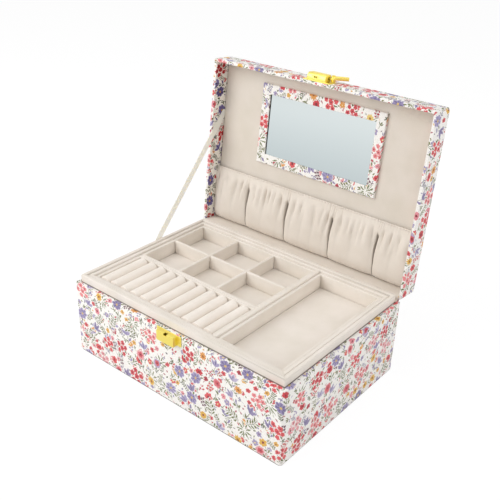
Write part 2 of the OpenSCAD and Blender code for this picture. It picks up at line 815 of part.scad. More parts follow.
// The arm reaches into the housing and carries the hook; the thumb bar stands outside
module clasp_lever() {
    arm_left = sqrt(pow(hook_r, 2) - pow(arm_low, 2)) + hook_w / 2;
    color(gold) on_open_lid() translate([pivot_x, face_y, pivot_z]) difference() {
        union() {
            bar_y(0, -hub_y - hub_len, 0, hub_r, hub_len);
            rotate([0, -lever_tilt, 0]) translate([0, lever_deep - hub_y - hub_len, 0])
                rotate([90, 0, 0]) linear_extrude(lever_deep)
                polygon([
                    [0, -lever_root_t / 2], [lever_len, -lever_t / 2],
                    [lever_len, lever_t / 2], [0, lever_root_t / 2]
                ]);
            translate([0, -arm_y, 0]) rotate([90, 0, 0]) linear_extrude(arm_t) {
                polygon([
                    [hub_r - 0.3, 0], [hub_r - 0.3, -arm_low], [-arm_left, -arm_low],
                    [-arm_left, -arm_top], [-hub_r + 0.1, -arm_top], [-hub_r + 0.1, 0]
                ]);
                hook_arc(asin(arm_top / hook_r) + hook_root, hook_tip, 0);
            }
        }
        bar_y(0, -hub_y - hub_len - eps, 0, pin_r + pin_fit, hub_len + 2 * eps);
    }
}

base_carcass();
base_cover();
bottom_sheet();
collar(0);  // collar_front
collar(1);  // collar_right
collar(2);  // collar_back
collar(3);  // collar_left
floor_pad();
tray_rest(0);  // rest_front
tray_rest(1);  // rest_right
tray_rest(2);  // rest_back
tray_rest(3);  // rest_left
tray_floor();
tray_side(0);  // tray_front
tray_side(1);  // tray_right
tray_side(2);  // tray_back
tray_side(3);  // tray_left
tray_partition();
grid_frame();
grid_long_divider();
grid_cross(1);  // grid_cross_left
grid_cross(2);  // grid_cross_right
grid_pad();
roll_frame();
roll_bed();
for (n = [1:roll_count]) {
    ring_roll(n);
}
well_frame();
well_pad();
lid_carcass();
lid_cover();
lid_panel();
hinge_lining();
hinge_cloth();
mirror_frame();
mirror_glass();
mirror_card();
pocket_cloth();
pocket_hem();
ribbon_stay();
clasp_base_plate();
clasp_catch();
clasp_base_rivets();
clasp_lid_plate();
clasp_housing();
clasp_lid_rivet();
clasp_pivot_pin();
clasp_lever();
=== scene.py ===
"""Cloth-covered vanity box, lid open: mirror and gathered pockets in the lid,
ring rolls and velvet compartments in the lift-out tray, gold lever clasp."""

import json
import math
import random

import bmesh
import bpy
import numpy as np
from mathutils import Matrix, Vector


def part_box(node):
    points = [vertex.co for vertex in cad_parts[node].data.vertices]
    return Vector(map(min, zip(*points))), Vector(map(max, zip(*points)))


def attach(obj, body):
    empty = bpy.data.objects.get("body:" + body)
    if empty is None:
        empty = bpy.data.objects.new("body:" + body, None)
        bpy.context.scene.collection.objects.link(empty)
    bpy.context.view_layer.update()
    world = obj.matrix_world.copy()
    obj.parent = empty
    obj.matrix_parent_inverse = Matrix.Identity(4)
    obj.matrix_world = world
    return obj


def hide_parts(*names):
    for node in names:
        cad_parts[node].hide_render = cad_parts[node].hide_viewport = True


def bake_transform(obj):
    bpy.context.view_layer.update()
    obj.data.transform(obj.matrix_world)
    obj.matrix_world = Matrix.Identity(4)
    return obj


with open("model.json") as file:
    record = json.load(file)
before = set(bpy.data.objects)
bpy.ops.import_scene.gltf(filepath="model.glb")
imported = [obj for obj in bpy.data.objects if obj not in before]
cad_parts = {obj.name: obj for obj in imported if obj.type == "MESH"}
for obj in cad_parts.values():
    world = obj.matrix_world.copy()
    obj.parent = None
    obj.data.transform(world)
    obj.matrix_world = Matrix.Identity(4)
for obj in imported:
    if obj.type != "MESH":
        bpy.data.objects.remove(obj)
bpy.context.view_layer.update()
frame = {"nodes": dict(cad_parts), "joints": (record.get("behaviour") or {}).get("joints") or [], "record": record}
bpy.ops.object.select_all(action="DESELECT")

MM = 0.001
UP = Vector((0, 0, 1))

# The lid's pieces are made as on the closed box and then turned about the hinge.
HINGE = next(j for j in frame["joints"] if j["name"] == "lid_hinge")
HINGE_AT = Vector(HINGE["pos_m"])
OPEN_ANGLE = math.radians(max(HINGE["range_deg"]))
OPENED = (
    Matrix.Translation(HINGE_AT)
    @ Matrix.Rotation(-OPEN_ANGLE, 4, "X")
    @ Matrix.Translation(-HINGE_AT)
)
CLOSED = OPENED.inverted()


def closed_box(node):
    """Lowest and highest corner of a lid node as it lies on the closed box."""
    co = [CLOSED @ v.co for v in frame["nodes"][node].data.vertices]
    low = Vector([min(c[i] for c in co) for i in range(3)])
    high = Vector([max(c[i] for c in co) for i in range(3)])
    return low, high


BASE_LOW, BASE_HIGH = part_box("base_cover")
LID_LOW, LID_HIGH = closed_box("lid_cover")
PANEL_LOW, PANEL_HIGH = closed_box("lid_panel")
BOX_W = BASE_HIGH.x - BASE_LOW.x
BOX_D = BASE_HIGH.y - BASE_LOW.y
CORNER_R = 3 * MM
CLOTH_T = 0.6 * MM
BASE_WALL = 4.5 * MM
LID_WALL = 3.6 * MM
# How far cloth reaches under the foot, and the hinge cloth down each back.
TURNED_IN = 14 * MM


# ---------- camera, lamps and floor ----------

VIEW_AZIMUTH = math.radians(38.32)
VIEW_ELEVATION = math.radians(27.69)
VIEW_ROLL = math.radians(2.2)
VIEW_FROM = Vector((0.40199, -0.49007, 0.45862))
FOCAL_PX = 754.69
PICTURE_PX = 500
SENSOR_MM = 36
# Strength of the white surround as a light; it looks plain white whatever this is.
AMBIENT = 0.5


def add_camera():
    back = Vector((
        math.sin(VIEW_AZIMUTH) * math.cos(VIEW_ELEVATION),
        -math.cos(VIEW_AZIMUTH) * math.cos(VIEW_ELEVATION),
        math.sin(VIEW_ELEVATION),
    ))
    level = Vector((math.cos(VIEW_AZIMUTH), math.sin(VIEW_AZIMUTH), 0))
    upright = back.cross(level)
    across = math.cos(VIEW_ROLL) * level + math.sin(VIEW_ROLL) * upright
    above = -math.sin(VIEW_ROLL) * level + math.cos(VIEW_ROLL) * upright
    data = bpy.data.cameras.new("camera")
    data.sensor_width = SENSOR_MM
    data.lens = FOCAL_PX / PICTURE_PX * data.sensor_width
    data.clip_start = 0.01
    camera = bpy.data.objects.new("camera", data)
    bpy.context.scene.collection.objects.link(camera)
    turn = Matrix((across, above, back)).transposed().to_4x4()
    camera.matrix_world = Matrix.Translation(VIEW_FROM) @ turn
    bpy.context.scene.camera = camera


def add_lamp(name, place, aim, size, power):
    data = bpy.data.lights.new(name, "AREA")
    data.shape = "SQUARE"
    data.size = size
    data.energy = power
    lamp = bpy.data.objects.new(name, data)
    bpy.context.scene.collection.objects.link(lamp)
    lamp.location = place
    lamp.rotation_euler = (Vector(place) - Vector(aim)).to_track_quat("Z", "Y").to_euler()


# ---------- materials ----------


def colour(hex_text):
    """An sRGB hex colour as linear red, green, blue and alpha."""
    values = [int(hex_text[i:i + 2], 16) / 255 for i in (0, 2, 4)]
    linear = [v / 12.92 if v <= 0.04045 else ((v + 0.055) / 1.055) ** 2.4 for v in values]
    return (*linear, 1.0)


# The node tree that the helpers below add to.
SHADER = {}


def work_on(tree):
    """Empties a node tree and makes it the one that is built."""
    tree.nodes.clear()
    SHADER["tree"] = tree


def add(kind, feeds=(), **settings):
    """Adds a shader node; feeds gives each input a value, a socket or a node's first output."""
    made = SHADER["tree"].nodes.new("ShaderNode" + kind)
    for name, value in settings.items():
        setattr(made, name, value)
    for key, value in dict(feeds).items():
        if isinstance(value, bpy.types.Node):
            value = value.outputs[0]
        if isinstance(value, bpy.types.NodeSocket):
            SHADER["tree"].links.new(value, made.inputs[key])
        else:
            made.inputs[key].default_value = value
    return made


def calc(operation, *values, **settings):
    """Adds a Math node on one to three values."""
    return add("Math", enumerate(values), operation=operation, **settings)


def calc3(operation, *vectors):
    """Adds a Vector Math node on one to three vectors."""
    return add("VectorMath", enumerate(vectors), operation=operation)


def scaled(vector, factor):
    return add("VectorMath", {0: vector, "Scale": factor}, operation="SCALE")


def new_material(name):
    material = bpy.data.materials.new(name)
    material.use_nodes = True
    work_on(material.node_tree)
    return material


def finish_material(surface):
    add("OutputMaterial", {"Surface": surface})


def dress(piece, material):
    """Gives the whole piece one material."""
    slots = piece.data.materials
    if len(slots) == 0:
        slots.append(material)
    for i in range(len(slots)):
        slots[i] = material


def steps(factor, stops):
    """A ramp of flat colours: stops are (where it starts, hex colour)."""
    ramp = add("ValToRGB", {"Fac": factor})
    ramp.color_ramp.interpolation = "CONSTANT"
    points = ramp.color_ramp.elements
    while len(points) < len(stops):
        points.new(1.0)
    for point, (place, hex_text) in zip(points, stops):
        point.position = place
        point.color = colour(hex_text)
    return ramp.outputs[0]


def scattered(spot, cell, turn, shift, wander, swing):
    """Motif places strewn on the cloth, one in each cell of that many mm.
    Gives where a point lies from its motif, in mm, and two random numbers of that motif."""
    laid = add("Mapping", {
        "Vector": spot, "Location": (*shift, 0), "Rotation": (0, 0, turn),
        "Scale": (1 / cell, 1 / cell, 1),
    })
    part = add("SeparateXYZ", {0: laid})
    line = calc("FLOOR", part.outputs[1])
    slide = add("TexWhiteNoise", {"W": line}, noise_dimensions="1D")
    across = calc("ADD", part.outputs[0], slide.outputs["Value"])
    moved = add("CombineXYZ", {0: across, 1: part.outputs[1]})
    home = calc3("FLOOR", moved)
    inside = calc3("SUBTRACT", moved, home)
    dice = add("TexWhiteNoise", {"Vector": home}, noise_dimensions="2D")
    edge = 0.5 - wander / 2
    centre = calc3("MULTIPLY_ADD", dice.outputs["Color"], (wander, wander, 0),
                   (edge, edge, 0))
    off = calc3("SUBTRACT", inside, centre)
    off_mm = scaled(off, cell)
    more = add("TexWhiteNoise", {"Vector": home, "W": 7.3}, noise_dimensions="4D")
    luck = add("SeparateXYZ", {0: more.outputs["Color"]})
    lean = calc("MULTIPLY_ADD", luck.outputs[2], swing, -swing / 2 - turn)
    place = add("VectorRotate", {"Vector": off_mm, "Angle": lean}, rotation_type="Z_AXIS")
    return place, luck.outputs[0], luck.outputs[1]


def blended(factor, low, high):
    """Mixes two colours, each a socket or a hex text."""
    mixed = add("Mix", {"Factor": factor}, data_type="RGBA")
    for socket, value in ((mixed.inputs[6], low), (mixed.inputs[7], high)):
        if isinstance(value, str):
            socket.default_value = colour(value)
        else:
            SHADER["tree"].links.new(value, socket)
    return mixed.outputs[2]


def shifted(place, at):
    return calc3("SUBTRACT", place, (at[0], at[1], 0))


def disc(place, at, radius):
    """How far inside a dot a point lies, in mm; every shape below is measured so."""
    away = calc3("LENGTH", shifted(place, at))
    return calc("SUBTRACT", radius, away.outputs["Value"])


def polar(place, at):
    """Angle and distance from a centre."""
    own = shifted(place, at)
    flat = add("SeparateXYZ", {0: own})
    angle = calc("ARCTAN2", flat.outputs[1], flat.outputs[0])
    away = calc3("LENGTH", own).outputs["Value"]
    return angle, away


def blossom(place, at, petals, radius, cut):
    """A flower of round petals, cut in between them by that share of its radius."""
    angle, away = polar(place, at)
    spread = calc("MULTIPLY", angle, petals / 2)
    lobe = calc("COSINE", spread)
    lobe = calc("ABSOLUTE", lobe)
    lobe = calc("POWER", lobe, 0.55)
    reach = calc("MULTIPLY_ADD", lobe, radius * cut, radius * (1 - cut))
    return calc("SUBTRACT", reach, away)


def leaf(place, at, turn, length, width):
    """A pointed leaf or petal."""
    own = add("Mapping", {
        "Vector": place, "Location": (*at, 0), "Rotation": (0, 0, turn),
        "Scale": (length / 2, width / 2, 1),
    }, vector_type="TEXTURE")
    flat = add("SeparateXYZ", {0: own})
    along = calc("MULTIPLY", flat.outputs[0], flat.outputs[0])
    aside = calc("ABSOLUTE", flat.outputs[1])
    rest = calc("SUBTRACT", 1.0, along)
    rest = calc("SUBTRACT", rest, aside)
    return calc("MULTIPLY", rest, width / 2)


def wheel(place, at, count):
    """Folds the turn about a centre, so that one petal drawn along X becomes a ring."""
    angle, away = polar(place, at)
    step = 2 * math.pi / count
    part = calc("ADD", angle, step / 2)
    part = calc("FLOORED_MODULO", part, step)
    part = calc("SUBTRACT", part, step / 2)
    x = calc("COSINE", part)
    y = calc("SINE", part)
    folded = add("CombineXYZ", {0: x, 1: y})
    return scaled(folded, away)


def bowed(place, bow):
    """Bends the plane so that the Y axis follows a bowed stem."""
    flat = add("SeparateXYZ", {0: place})
    square = calc("MULTIPLY", flat.outputs[1], flat.outputs[1])
    aside = calc("MULTIPLY_ADD", square, bow, flat.outputs[0])
    aside = calc("ABSOLUTE", aside)
    return aside, flat.outputs[1]


def between(height, low, high):
    middle = calc("SUBTRACT", height, (low + high) / 2)
    middle = calc("ABSOLUTE", middle)
    return calc("SUBTRACT", (high - low) / 2, middle)


def stem(place, low, high, bow, thick):
    """A thin bowed stem."""
    aside, height = bowed(place, bow)
    side = calc("SUBTRACT", thick / 2, aside)
    return calc("MINIMUM", side, between(height, low, high))


def paired(place, low, high, step, bow):
    """Folds the plane so that one leaf or berry drawn beside the stem comes in pairs up it."""
    aside, height = bowed(place, bow)
    rise = calc("SUBTRACT", height, low)
    rise = calc("FLOORED_MODULO", rise, step)
    folded = add("CombineXYZ", {0: aside, 1: rise})
    return folded, between(height, low, high)


def joined(*shapes):
    """Inside any of several shapes."""
    whole = shapes[0]
    for shape in shapes[1:]:
        whole = calc("MAXIMUM", whole, shape)
    return whole


def stamped(look, chosen, parts, halo=0.55):
    """Prints a motif, each part a shape and its ink, with a rim of bare ground round it.
    chosen is a random number and the span of it that this motif takes."""
    pick, low, high = chosen
    above = calc("GREATER_THAN", pick, low)
    below = calc("LESS_THAN", pick, high)
    there = calc("MULTIPLY", above, below)
    whole = joined(*[shape for shape, ink in parts])
    rim = calc("ADD", whole, halo)
    for shape, ink in [(rim, GROUND), *parts]:
        mask = calc("MULTIPLY_ADD", shape, 1 / INK_EDGE, 0.5, use_clamp=True)
        mask = calc("MULTIPLY", mask, there)
        look = blended(mask, look, ink)
    return look


GROUND = "F5F2ED"
# The motifs are drawn at 0.8 of the size that they are printed at.
PRINT_SCALE = 1.25
# Width of a printed edge, in mm as drawn.
INK_EDGE = 0.18
# Plain weave: real threads lie 0.35 mm apart, drawn wider so that they show.
THREAD_MM = 0.7


def print_seeds(look, spot):
    """Seeds and tiny buds between the flowers."""
    place, pick, tint = scattered(spot, 4.1, 0.5, (3.1, 7.7), 0.5, 6.28)
    ink = steps(tint, [
        (0.0, "7C7A4A"), (0.2, "A8525C"), (0.38, "988FAF"), (0.54, "5E6444"),
        (0.7, "D08A8E"), (0.82, "62585E"), (0.92, "D9A65A"),
    ])
    return stamped(look, (pick, -1, 0.6), [
        (leaf(place, (0, 0), 0.0, 2.3, 1.0), ink),
    ], halo=0.0)


def print_buds(look, spot):
    """Small single blossoms, sprays of three leaves and loose petals, 3 to 6 mm across."""
    place, pick, tint = scattered(spot, 7.6, 0.8, (2.2, 6.1), 0.3, 6.28)
    ink = steps(tint, [
        (0.0, "D4575C"), (0.28, "E2979D"), (0.46, "A79DBD"), (0.66, "B23F49"), (0.82, "E0AE5C"),
    ])
    look = stamped(look, (pick, -1, 0.4), [
        (blossom(place, (0, 0), 5, 2.3, 0.36), ink),
        (disc(place, (0, 0), 0.5), "6E3A42"),
    ], halo=0.3)
    ink = steps(tint, [(0.0, "6F7444"), (0.4, "525A3A"), (0.7, "8B84A0")])
    spray = joined(
        leaf(place, (-1.2, 0.9), 2.2, 3.2, 1.0),
        leaf(place, (0.1, 1.3), 1.57, 3.4, 1.0),
        leaf(place, (1.4, 0.8), 0.9, 3.2, 1.0),
        leaf(place, (0.0, -1.6), 1.5, 3.6, 0.5),
    )
    look = stamped(look, (pick, 0.4, 0.68), [(spray, ink)], halo=0.3)
    petals = joined(
        leaf(place, (-1.4, 0.3), 0.5, 2.8, 1.5),
        leaf(place, (1.1, 1.1), 2.4, 2.6, 1.4),
        leaf(place, (0.5, -1.5), 1.4, 2.4, 1.3),
    )
    ink = steps(tint, [(0.0, "D96A6C"), (0.4, "9B90B4"), (0.75, "C4525A")])
    return stamped(look, (pick, 0.68, 0.86), [(petals, ink)], halo=0.3)


def print_sprigs(look, spot):
    """Leaf twigs, berry twigs and small blossoms on stems, 10 to 12 mm tall."""
    place, pick, tint = scattered(spot, 12.2, -0.35, (1.3, 2.9), 0.16, 2.4)
    pairs, held = paired(place, -4.4, 4.6, 1.8, 0.05)
    leaves = leaf(pairs, (1.15, 1.0), 0.65, 2.3, 0.95)
    leaves = calc("MINIMUM", leaves, held)
    ink = steps(tint, [(0.0, "6F7445"), (0.35, "50573A"), (0.6, "8C85A0"), (0.8, "86885A")])
    line = stem(place, -5.2, 4.8, 0.05, 0.34)
    look = stamped(look, (pick, -1, 0.34), [
        (line, "5E6448"), (leaves, ink),
    ], halo=0.4)
    pairs, held = paired(place, -2.6, 4.8, 2.45, -0.06)
    berries = disc(pairs, (1.25, 1.2), 0.9)
    berries = calc("MINIMUM", berries, held)
    ink = steps(tint, [(0.0, "B23E4B"), (0.4, "6E4558"), (0.65, "D0605F")])
    line = stem(place, -5.2, 4.8, -0.06, 0.32)
    look = stamped(look, (pick, 0.34, 0.6), [
        (line, "665A42"), (berries, ink),
    ], halo=0.4)
    ink = steps(tint, [(0.0, "D4565C"), (0.35, "E593A0"), (0.6, "A499BC"), (0.85, "DD9A54")])
    return stamped(look, (pick, 0.6, 0.88), [
        (stem(place, -4.8, 0.0, 0.07, 0.3), "696F46"),
        (leaf(place, (1.0, -2.6), 0.8, 2.8, 1.0), "696F46"),
        (blossom(place, (0, 1.8), 5, 2.6, 0.4), ink),
        (disc(place, (0, 1.8), 0.65), "F0D89A"),
    ], halo=0.4)


def print_tall(look, spot):
    """Bell flowers, tall round flowers and tufts of grass, 14 to 16 mm tall."""
    place, pick, tint = scattered(spot, 17.0, 0.2, (8.4, 0.6), 0.16, 1.9)
    ink = steps(tint, [(0.0, "A79EC0"), (0.4, "B5ACC8"), (0.65, "958BAE"), (0.85, "BEB4CE")])
    bell = joined(
        leaf(place, (-2.3, 2.9), 2.25, 7.0, 2.6),
        leaf(place, (0.0, 3.6), 1.57, 7.2, 2.9),
        leaf(place, (2.3, 2.9), 0.89, 7.0, 2.6),
    )
    look = stamped(look, (pick, -1, 0.42), [
        (stem(place, -7.4, 0.8, 0.03, 0.4), "74765A"),
        (leaf(place, (1.7, -3.4), 0.8, 5.0, 1.7), "9086A9"),
        (leaf(place, (-1.5, -5.0), 2.4, 4.2, 1.4), "6E7548"),
        (bell, ink),
        (leaf(place, (0.0, 3.4), 1.57, 5.6, 0.7), "6C6486"),
        (leaf(place, (-1.9, 2.5), 2.25, 4.6, 0.55), "6C6486"),
    ])
    ink = steps(tint, [
        (0.0, "CB464E"), (0.35, "DA5C5F"), (0.62, "DFB055"), (0.76, "E18E97"),
    ])
    look = stamped(look, (pick, 0.42, 0.76), [
        (stem(place, -7.4, 2.6, 0.03, 0.4), "666F44"),
        (leaf(place, (-1.9, -2.6), 2.3, 4.4, 1.5), "666F44"),
        (leaf(place, (1.6, -4.4), 0.8, 4.0, 1.4), "7A8054"),
        (blossom(place, (0, 3.6), 6, 3.4, 0.3), ink),
        (disc(place, (0, 3.6), 1.0), "85383F"),
    ])
    blades = leaf(wheel(place, (0, 0), 9), (4.1, 0), 0.0, 5.4, 1.0)
    return stamped(look, (pick, 0.76, 0.94), [
        (blades, "6F7846"),
        (stem(place, -7.4, 0.0, 0.03, 0.4), "6F7846"),
    ])


def print_blooms(look, spot):
    """Heads of coral blossoms, lilac and rose blooms, ochre daisies and leaf sprays,
    9 to 15 mm across."""
    place, pick, tint = scattered(spot, 19.4, -0.15, (5.1, 3.7), 0.16, 3.6)
    ink = steps(tint, [(0.0, "DA5C60"), (0.5, "CD4E55"), (0.74, "E58A8C"), (0.9, "E3A2A6")])
    head = joined(*[
        blossom(place, at, 5, radius, 0.36) for at, radius in [
            ((0.3, 0.2), 2.4), ((4.4, 1.3), 2.2), ((1.5, 4.6), 2.3), ((-3.6, 3.0), 2.2),
            ((-3.6, -2.1), 2.0), ((1.9, -4.1), 2.1),
        ]
    ])
    eyes = joined(*[
        disc(place, at, 0.55) for at in [(0.3, 0.2), (4.4, 1.3), (1.5, 4.6), (-3.6, 3.0)]
    ])
    look = stamped(look, (pick, -1, 0.44), [
        (leaf(place, (4.3, -1.9), -0.7, 3.6, 1.3), "606940"),
        (leaf(place, (-0.9, -5.0), 1.9, 3.6, 1.2), "606940"),
        (head, ink),
        (eyes, "84303B"),
    ])
    ink = steps(tint, [(0.0, "A49ABF"), (0.4, "9388AE"), (0.7, "B1A8C8")])
    look = stamped(look, (pick, 0.44, 0.62), [
        (leaf(place, (4.6, -3.4), -0.7, 3.8, 1.4), "767C50"),
        (blossom(place, (0, 0), 7, 5.0, 0.3), ink),
        (leaf(wheel(place, (0, 0), 7), (2.7, 0), 0.0, 3.4, 0.7), "696084"),
        (disc(place, (0, 0), 1.0), "DDBB68"),
    ])
    ink = steps(tint, [(0.0, "DFB256"), (0.5, "DD9B55"), (0.8, "E5C774")])
    petals = leaf(wheel(place, (0, 1.2), 9), (2.2, 0), 0.0, 3.4, 1.7)
    look = stamped(look, (pick, 0.62, 0.74), [
        (stem(place, -6.2, 0.0, 0.04, 0.4), "6A7344"),
        (leaf(place, (1.5, -4.0), 0.9, 3.6, 1.2), "6A7344"),
        (petals, ink),
        (disc(place, (0, 1.2), 1.0), "9A5F3C"),
    ])
    ink = steps(tint, [(0.0, "E6A3A7"), (0.5, "D98086"), (0.8, "B9A6BE")])
    look = stamped(look, (pick, 0.74, 0.86), [
        (leaf(place, (-4.4, -1.6), 0.4, 3.6, 1.5), "666E42"),
        (leaf(place, (3.9, -2.7), -0.6, 3.6, 1.5), "666E42"),
        (blossom(place, (0, 0), 6, 4.1, 0.22), ink),
        (blossom(place, (0.2, 0.1), 5, 2.5, 0.3), "CE5B63"),
        (disc(place, (0.2, 0.1), 0.8), "7D323C"),
    ])
    pairs, held = paired(place, -5.4, 5.6, 2.6, 0.04)
    leaves = leaf(pairs, (1.9, 1.4), 0.7, 3.6, 1.3)
    leaves = calc("MINIMUM", leaves, held)
    return stamped(look, (pick, 0.86, 0.97), [
        (stem(place, -6.6, 6.0, 0.04, 0.4), "5F663E"),
        (leaves, "70764A"),
        (disc(place, (0.9, 6.2), 0.9), "B9454E"),
    ])


def floral_cotton():
    """Printed cotton glued over board: a near-white ground closely strewn with small
    hand-painted garden flowers, matt, with a fine plain weave."""
    material = new_material("printed_cotton_over_board")
    cut = add("UVMap", uv_map="cloth_mm")
    # The rows of motifs wander by a few millimetres, and the brush by a third of one.
    drift = add("TexNoise", {"Vector": cut, "Scale": 0.025, "Detail": 0.0},
                noise_dimensions="2D")
    spot = scaled(cut, 1 / PRINT_SCALE)
    spot = calc3("MULTIPLY_ADD", drift.outputs["Color"], (6, 6, 0), spot)
    brush = add("TexNoise", {"Vector": cut, "Scale": 0.5, "Detail": 2.0},
                noise_dimensions="2D")
    spot = calc3("MULTIPLY_ADD", brush.outputs["Color"], (1.5, 1.5, 0), spot)
    look = GROUND
    for layer in (print_seeds, print_buds, print_sprigs, print_tall, print_blooms):
        look = layer(look, spot)

    # The inks lie a little unevenly, as brushed on.
    wash = add("TexNoise", {"Vector": cut, "Scale": 0.9, "Detail": 3.0},
               noise_dimensions="2D")
    depth = add("MapRange", {
        "Value": wash.outputs["Fac"], "From Min": 0.3, "From Max": 0.7,
        "To Min": 0.88, "To Max": 1.05,
    })
    uneven = scaled(look, depth)
    # Painted shade: on the cloth's inner walls the inks are darkened, standing in for the shade inside the lid.
    inner_wall_painted_shade = add("Attribute", attribute_name="inner_wall_painted_shade").outputs["Fac"]
    power = add("MapRange", {"Value": inner_wall_painted_shade, "To Min": 1.0, "To Max": 1.9})
    strength = add("MapRange", {"Value": inner_wall_painted_shade, "To Min": 1.0, "To Max": 1.12})
    deeper = add("Gamma", {0: uneven, 1: power})
    uneven = scaled(deeper, strength)

    threads = scaled(cut, math.pi / THREAD_MM)
    thread = add("SeparateXYZ", {0: threads})
    warp = calc("SINE", thread.outputs[0])
    weft = calc("SINE", thread.outputs[1])
    woven = calc("MULTIPLY", warp, weft)
    bump = add("Bump", {"Strength": 0.25, "Distance": 0.06 * MM, "Height": woven})
    surface = add("BsdfPrincipled", {
        "Base Color": uneven, "Roughness": 0.82, "Sheen Weight": 0.1,
        "Sheen Roughness": 0.5, "Normal": bump,
    })
    finish_material(surface)
    return material


def velvet(name, hex_text, shade_hex, pile_mm, folds=False, foot=None):
    """Short-pile velvet stretched over board or foam: cream, with soft paler and darker
    marks where the pile lies another way, and a faint bright edge."""
    material = new_material(name)
    at = add("TexCoord").outputs["Object"]
    # Marks left by a hand in the pile are 15 to 40 mm wide.
    marks = add("TexNoise", {"Vector": at, "Scale": 38.0, "Detail": 2.0, "Roughness": 0.55})
    nap = add("MapRange", {"Value": marks.outputs["Fac"], "From Min": 0.32, "From Max": 0.68})
    # Pile tufts are 0.2 mm apart, drawn larger so that they show.
    tufts = add("TexNoise", {"Vector": at, "Scale": 1 / (pile_mm * MM), "Detail": 3.0,
                                   "Roughness": 0.7})
    speck = add("MapRange", {"Value": tufts.outputs["Fac"], "From Min": 0.3,
                                   "From Max": 0.7, "To Min": 0.965, "To Max": 1.03})
    tone = blended(nap, shade_hex, hex_text)
    if folds:
        # Painted shade: deep in the sewn folds the cloth is darkened, standing in for the shade there.
        depth = add("Attribute", attribute_name="fold_painted_shade").outputs["Fac"]
        tone = blended(depth, tone, "40362C")
    if foot is not None:
        # Painted shade: the lowest millimetre of the pile, where it goes into the gap at the foot, is darkened to
        # stand in for the shade in that gap.
        height = add("SeparateXYZ", {0: at}).outputs[2]
        pressed = add("MapRange", {
            "Value": height, "From Min": foot + 0.3 * MM, "From Max": foot + 1.0 * MM,
            "To Min": 0.7, "To Max": 0.0,
        })
        tone = blended(pressed, tone, "5A453C")
    fleck = scaled(tone, speck)
    bump = add("Bump", {"Strength": 0.25, "Distance": 0.12 * MM,
                              "Height": tufts.outputs["Fac"]})
    surface = add("BsdfPrincipled", {
        "Base Color": fleck, "Roughness": 0.95, "Sheen Weight": 0.35, "Sheen Roughness": 0.35,
        "Specular IOR Level": 0.2, "Normal": bump,
    })
    finish_material(surface)
    return material


def satin_ribbon():
    """Cream polyester satin with a soft sheen, thin enough to let some light through."""
    material = new_material("polyester_satin_ribbon")
    surface = add("BsdfPrincipled", {
        "Base Color": colour("FFFBEA"), "Roughness": 0.35, "Sheen Weight": 0.8,
        "Specular IOR Level": 0.9, "Coat Weight": 0.6, "Coat Roughness": 0.3,
        "Subsurface Weight": 0.6, "Subsurface Scale": 1 * MM,
        "Subsurface Radius": (1.0, 0.9, 0.7),
    })
    finish_material(surface)
    return material


def gold_plate():
    """Bright lemon-gold plate over pressed steel, with a soft polish."""
    material = new_material("polished_gold_plate")
    surface = add("BsdfPrincipled", {
        "Base Color": colour("F2DF74"), "Metallic": 1.0, "Roughness": 0.36,
    })
    finish_material(surface)
    return material


# Where the painted shade along the pane's left edge ends, and the heights between which its painted reflection
# grey changes.
MIRROR_PAINTED_SHADE_X = -62.3 * MM
MIRROR_FOOT_Z, MIRROR_TOP_Z = 165 * MM, 245 * MM


def silvered_glass():
    """Mirror: clear glass. Its cool grey is a painted reflection, a little deeper towards its foot, and a strip of
    painted shade runs along its left edge."""
    material = new_material("silvered_glass")
    at = add("SeparateXYZ", {0: add("TexCoord").outputs["Object"]})
    rise = add("MapRange", {
        "Value": at.outputs[2], "From Min": MIRROR_FOOT_Z, "From Max": MIRROR_TOP_Z,
    })
    # Painted reflection: the grey deepens towards the pane's foot.
    tone = blended(rise, "BCC6C8", "D6DDDD")
    # Painted shade: a dark strip along the pane's left edge.
    edge = calc("LESS_THAN", at.outputs[0], MIRROR_PAINTED_SHADE_X)
    painted_shade_rimmed = blended(edge, tone, "34332F")
    surface = add("BsdfPrincipled", {
        "Base Color": painted_shade_rimmed, "Metallic": 1.0, "Roughness": 0.03,
    })
    finish_material(surface)
    return material


def paper_board(name, hex_text, fibre_hex):
    """Grey pasteboard or kraft paper: matt and slightly mottled with fibres."""
    material = new_material(name)
    at = add("TexCoord").outputs["Object"]
    fibre = add("TexNoise", {"Vector": at, "Scale": 600.0, "Detail": 4.0})
    tone = blended(fibre.outputs["Fac"], hex_text, fibre_hex)
    bump = add("Bump", {"Strength": 0.2, "Distance": 0.1 * MM,
                              "Height": fibre.outputs["Fac"]})
    surface = add("BsdfPrincipled", {
        "Base Color": tone, "Roughness": 0.9, "Normal": bump,
    })
    finish_material(surface)
    return material


def seen_directly():
    """1 for rays of the camera, of a mirror and through glass, and 0 for light that falls."""
    path = add("LightPath")
    seen = calc("MAXIMUM", path.outputs["Is Camera Ray"], path.outputs["Is Glossy Ray"])
    return calc("MAXIMUM", seen, path.outputs["Is Transmission Ray"])


def add_stage():
    """A white floor that keeps a faint shadow, and a white surround."""
    bpy.ops.mesh.primitive_plane_add(size=8, location=(0, 0, -0.0001))
    floor = bpy.context.object
    floor.name = "floor"
    material = new_material("white_paper_floor")
    seen = seen_directly()
    share = calc("MULTIPLY", seen, 0.85)
    matt = add("BsdfDiffuse", {"Color": colour("F4F4F4")})
    glow = add("Emission", {"Color": colour("FFFFFF"), "Strength": 1.06})
    finish_material(add("MixShader", {0: share, 1: matt, 2: glow}))
    dress(floor, material)

    world = bpy.data.worlds.new("studio")
    world.use_nodes = True
    work_on(world.node_tree)
    seen = seen_directly()
    level = add("MapRange", {"Value": seen, "To Min": AMBIENT, "To Max": 1.0})
    sky = add("Background", {"Color": colour("FFFFFF"), "Strength": level})
    add("OutputWorld", {"Surface": sky})
    bpy.context.scene.world = world
    bpy.context.scene.view_settings.view_transform = "Standard"


# ---------- modelling helpers ----------


def pick(piece):
    bpy.ops.object.select_all(action="DESELECT")
    piece.select_set(True)
    bpy.context.view_layer.objects.active = piece


def start_edit(piece):
    pick(piece)
    bpy.ops.object.mode_set(mode="EDIT")


def end_edit():
    bpy.ops.object.mode_set(mode="OBJECT")
    bpy.ops.object.select_all(action="DESELECT")


